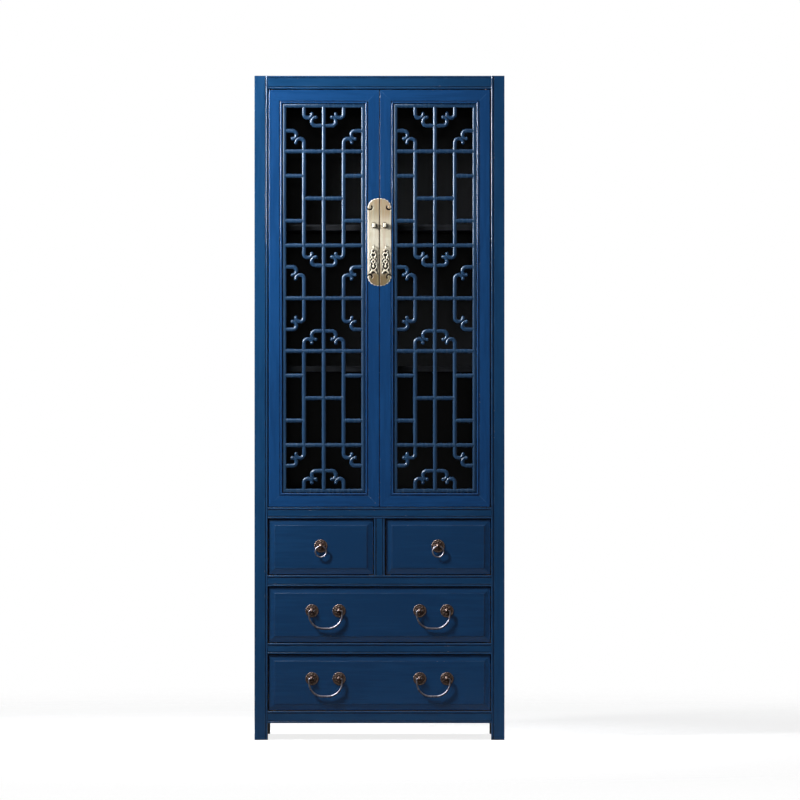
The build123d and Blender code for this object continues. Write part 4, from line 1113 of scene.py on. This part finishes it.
def world_colour():
    """White to the camera, and a dim even light on the object."""
    world = bpy.data.worlds.new("studio")
    bpy.context.scene.world = world
    world.use_nodes = True
    tree = world.node_tree
    tree.nodes.clear()
    path = add_node(tree, "ShaderNodeLightPath")
    direction = add_node(tree, "ShaderNodeTexCoord").outputs["Generated"]
    axes = add_node(tree, "ShaderNodeSeparateXYZ", {0: direction})
    around = remap(tree, axes.outputs["Y"], *FRONT_FADE, AMBIENT, AROUND)
    around = mixed_value(tree, remap(tree, axes.outputs["Z"], *LOW_FADE), AMBIENT, around)
    behind = remap(tree, axes.outputs["Y"], *REAR_FADE, 0.0, BEHIND)
    above = remap(tree, axes.outputs["Z"], *HIGH_FADE, 0.0, ABOVE)
    mirrored = math_node(tree, "MAXIMUM", math_node(tree, "MAXIMUM", around, behind), above)
    glossy = math_node(tree, "MAXIMUM", path.outputs["Is Glossy Ray"], path.outputs["Is Transmission Ray"])
    strength = mixed_value(tree, glossy, AMBIENT, mirrored)
    strength = math_node(tree, "MAXIMUM", strength, path.outputs["Is Camera Ray"])
    background = add_node(tree, "ShaderNodeBackground", {"Color": (1, 1, 1, 1), "Strength": strength})
    add_node(tree, "ShaderNodeOutputWorld", {"Surface": background.outputs[0]})


def build_floor():
    """Pale round floor that fades into the background and keeps the cabinet's shadow."""
    bm = bmesh.new()
    bmesh.ops.create_circle(bm, cap_ends=True, segments=FLOOR_SEGMENTS, radius=FLOOR_RADIUS)
    mesh = bpy.data.meshes.new("floor")
    bm.to_mesh(mesh)
    bm.free()
    floor = bpy.data.objects.new("floor", mesh)
    bpy.context.scene.collection.objects.link(floor)
    material = bpy.data.materials.new("floor")
    material.use_nodes = True
    tree = material.node_tree
    tree.nodes.clear()
    place = object_place(tree)
    distance = add_node(tree, "ShaderNodeVectorMath", {0: place}, operation="LENGTH").outputs["Value"]
    fade = remap(tree, distance, *FLOOR_FADE)
    path = add_node(tree, "ShaderNodeLightPath")
    mirrored = math_node(tree, "MAXIMUM", path.outputs["Is Glossy Ray"], path.outputs["Is Transmission Ray"])
    seen = math_node(tree, "MAXIMUM", path.outputs["Is Camera Ray"], product(tree, mirrored, FLOOR_MIRRORED))
    tint = mixed(tree, path.outputs["Is Glossy Ray"], FLOOR_TINT, FLOOR_TINT_MIRRORED)
    matt = add_node(tree, "ShaderNodeBsdfDiffuse", {"Color": tint})
    glow = add_node(tree, "ShaderNodeEmission", {"Strength": product(tree, seen, FLOOR_GLOW)})
    both = add_node(tree, "ShaderNodeAddShader", {0: matt.outputs[0], 1: glow.outputs[0]})
    clear = add_node(tree, "ShaderNodeBsdfTransparent")
    mix = add_node(tree, "ShaderNodeMixShader", {0: fade, 1: both.outputs[0], 2: clear.outputs[0]})
    add_node(tree, "ShaderNodeOutputMaterial", {"Surface": mix.outputs[0]})
    mesh.materials.append(material)


def area_light(name, place, target, size, power, colour=(1, 1, 1), gloss_only=False, spread=180):
    """Soft rectangular lamp that faces a target, its spread in degrees."""
    data = bpy.data.lights.new(name, "AREA")
    data.shape = "RECTANGLE"
    data.size, data.size_y = size
    data.energy = power
    data.color = colour
    data.spread = math.radians(spread)
    lamp = bpy.data.objects.new(name, data)
    lamp.location = place
    lamp.rotation_euler = (Vector(target) - Vector(place)).to_track_quat("-Z", "Y").to_euler()
    lamp.visible_camera = False
    lamp.visible_diffuse = not gloss_only
    bpy.context.scene.collection.objects.link(lamp)


COOL_WHITE = (0.84, 0.92, 1.0)
WARM_WHITE = (1.0, 0.99, 0.97)

world_colour()
build_floor()
area_light(
    "key", place=(-1.55, -1.2, 2.15), target=(0, -0.2, 1.5), size=(0.32, 0.38), power=58, colour=WARM_WHITE,
)
area_light(
    "rear_fill", place=(1.6, 1.6, 3.0), target=(0.1, 0.1, 1.1), size=(1.2, 1.2), power=14, spread=48,
)
area_light(
    "gloss_strip", place=(-1.9, -0.55, 1.95), target=(0, -0.2, 1.95), size=(0.6, 1.0), power=135,
    colour=COOL_WHITE, gloss_only=True,
)
area_light(
    "gloss_card", place=(-1.25, -1.25, 2.6), target=(0, -0.2, 0.6), size=(1.7, 1.5), power=125,
    colour=COOL_WHITE, gloss_only=True,
)

# ---------------------------------------------------------------- camera, in metres
CAMERA_DISTANCE = 20.0
CAMERA_X = 0.0574
CAMERA_Z = 0.952
FRAME_WIDTH = 2.24
SENSOR_WIDTH = 36
camera_data = bpy.data.cameras.new("camera")
camera_data.sensor_width = SENSOR_WIDTH
camera_data.lens = SENSOR_WIDTH * CAMERA_DISTANCE / FRAME_WIDTH
camera_data.clip_end = 5 * CAMERA_DISTANCE
camera = bpy.data.objects.new("camera", camera_data)
camera.location = (CAMERA_X, FRONT_Y * MM - CAMERA_DISTANCE, CAMERA_Z)
camera.rotation_euler = (math.radians(90), 0, 0)
bpy.context.scene.collection.objects.link(camera)
bpy.context.scene.camera = camera
bpy.context.scene.view_settings.view_transform = "Standard"
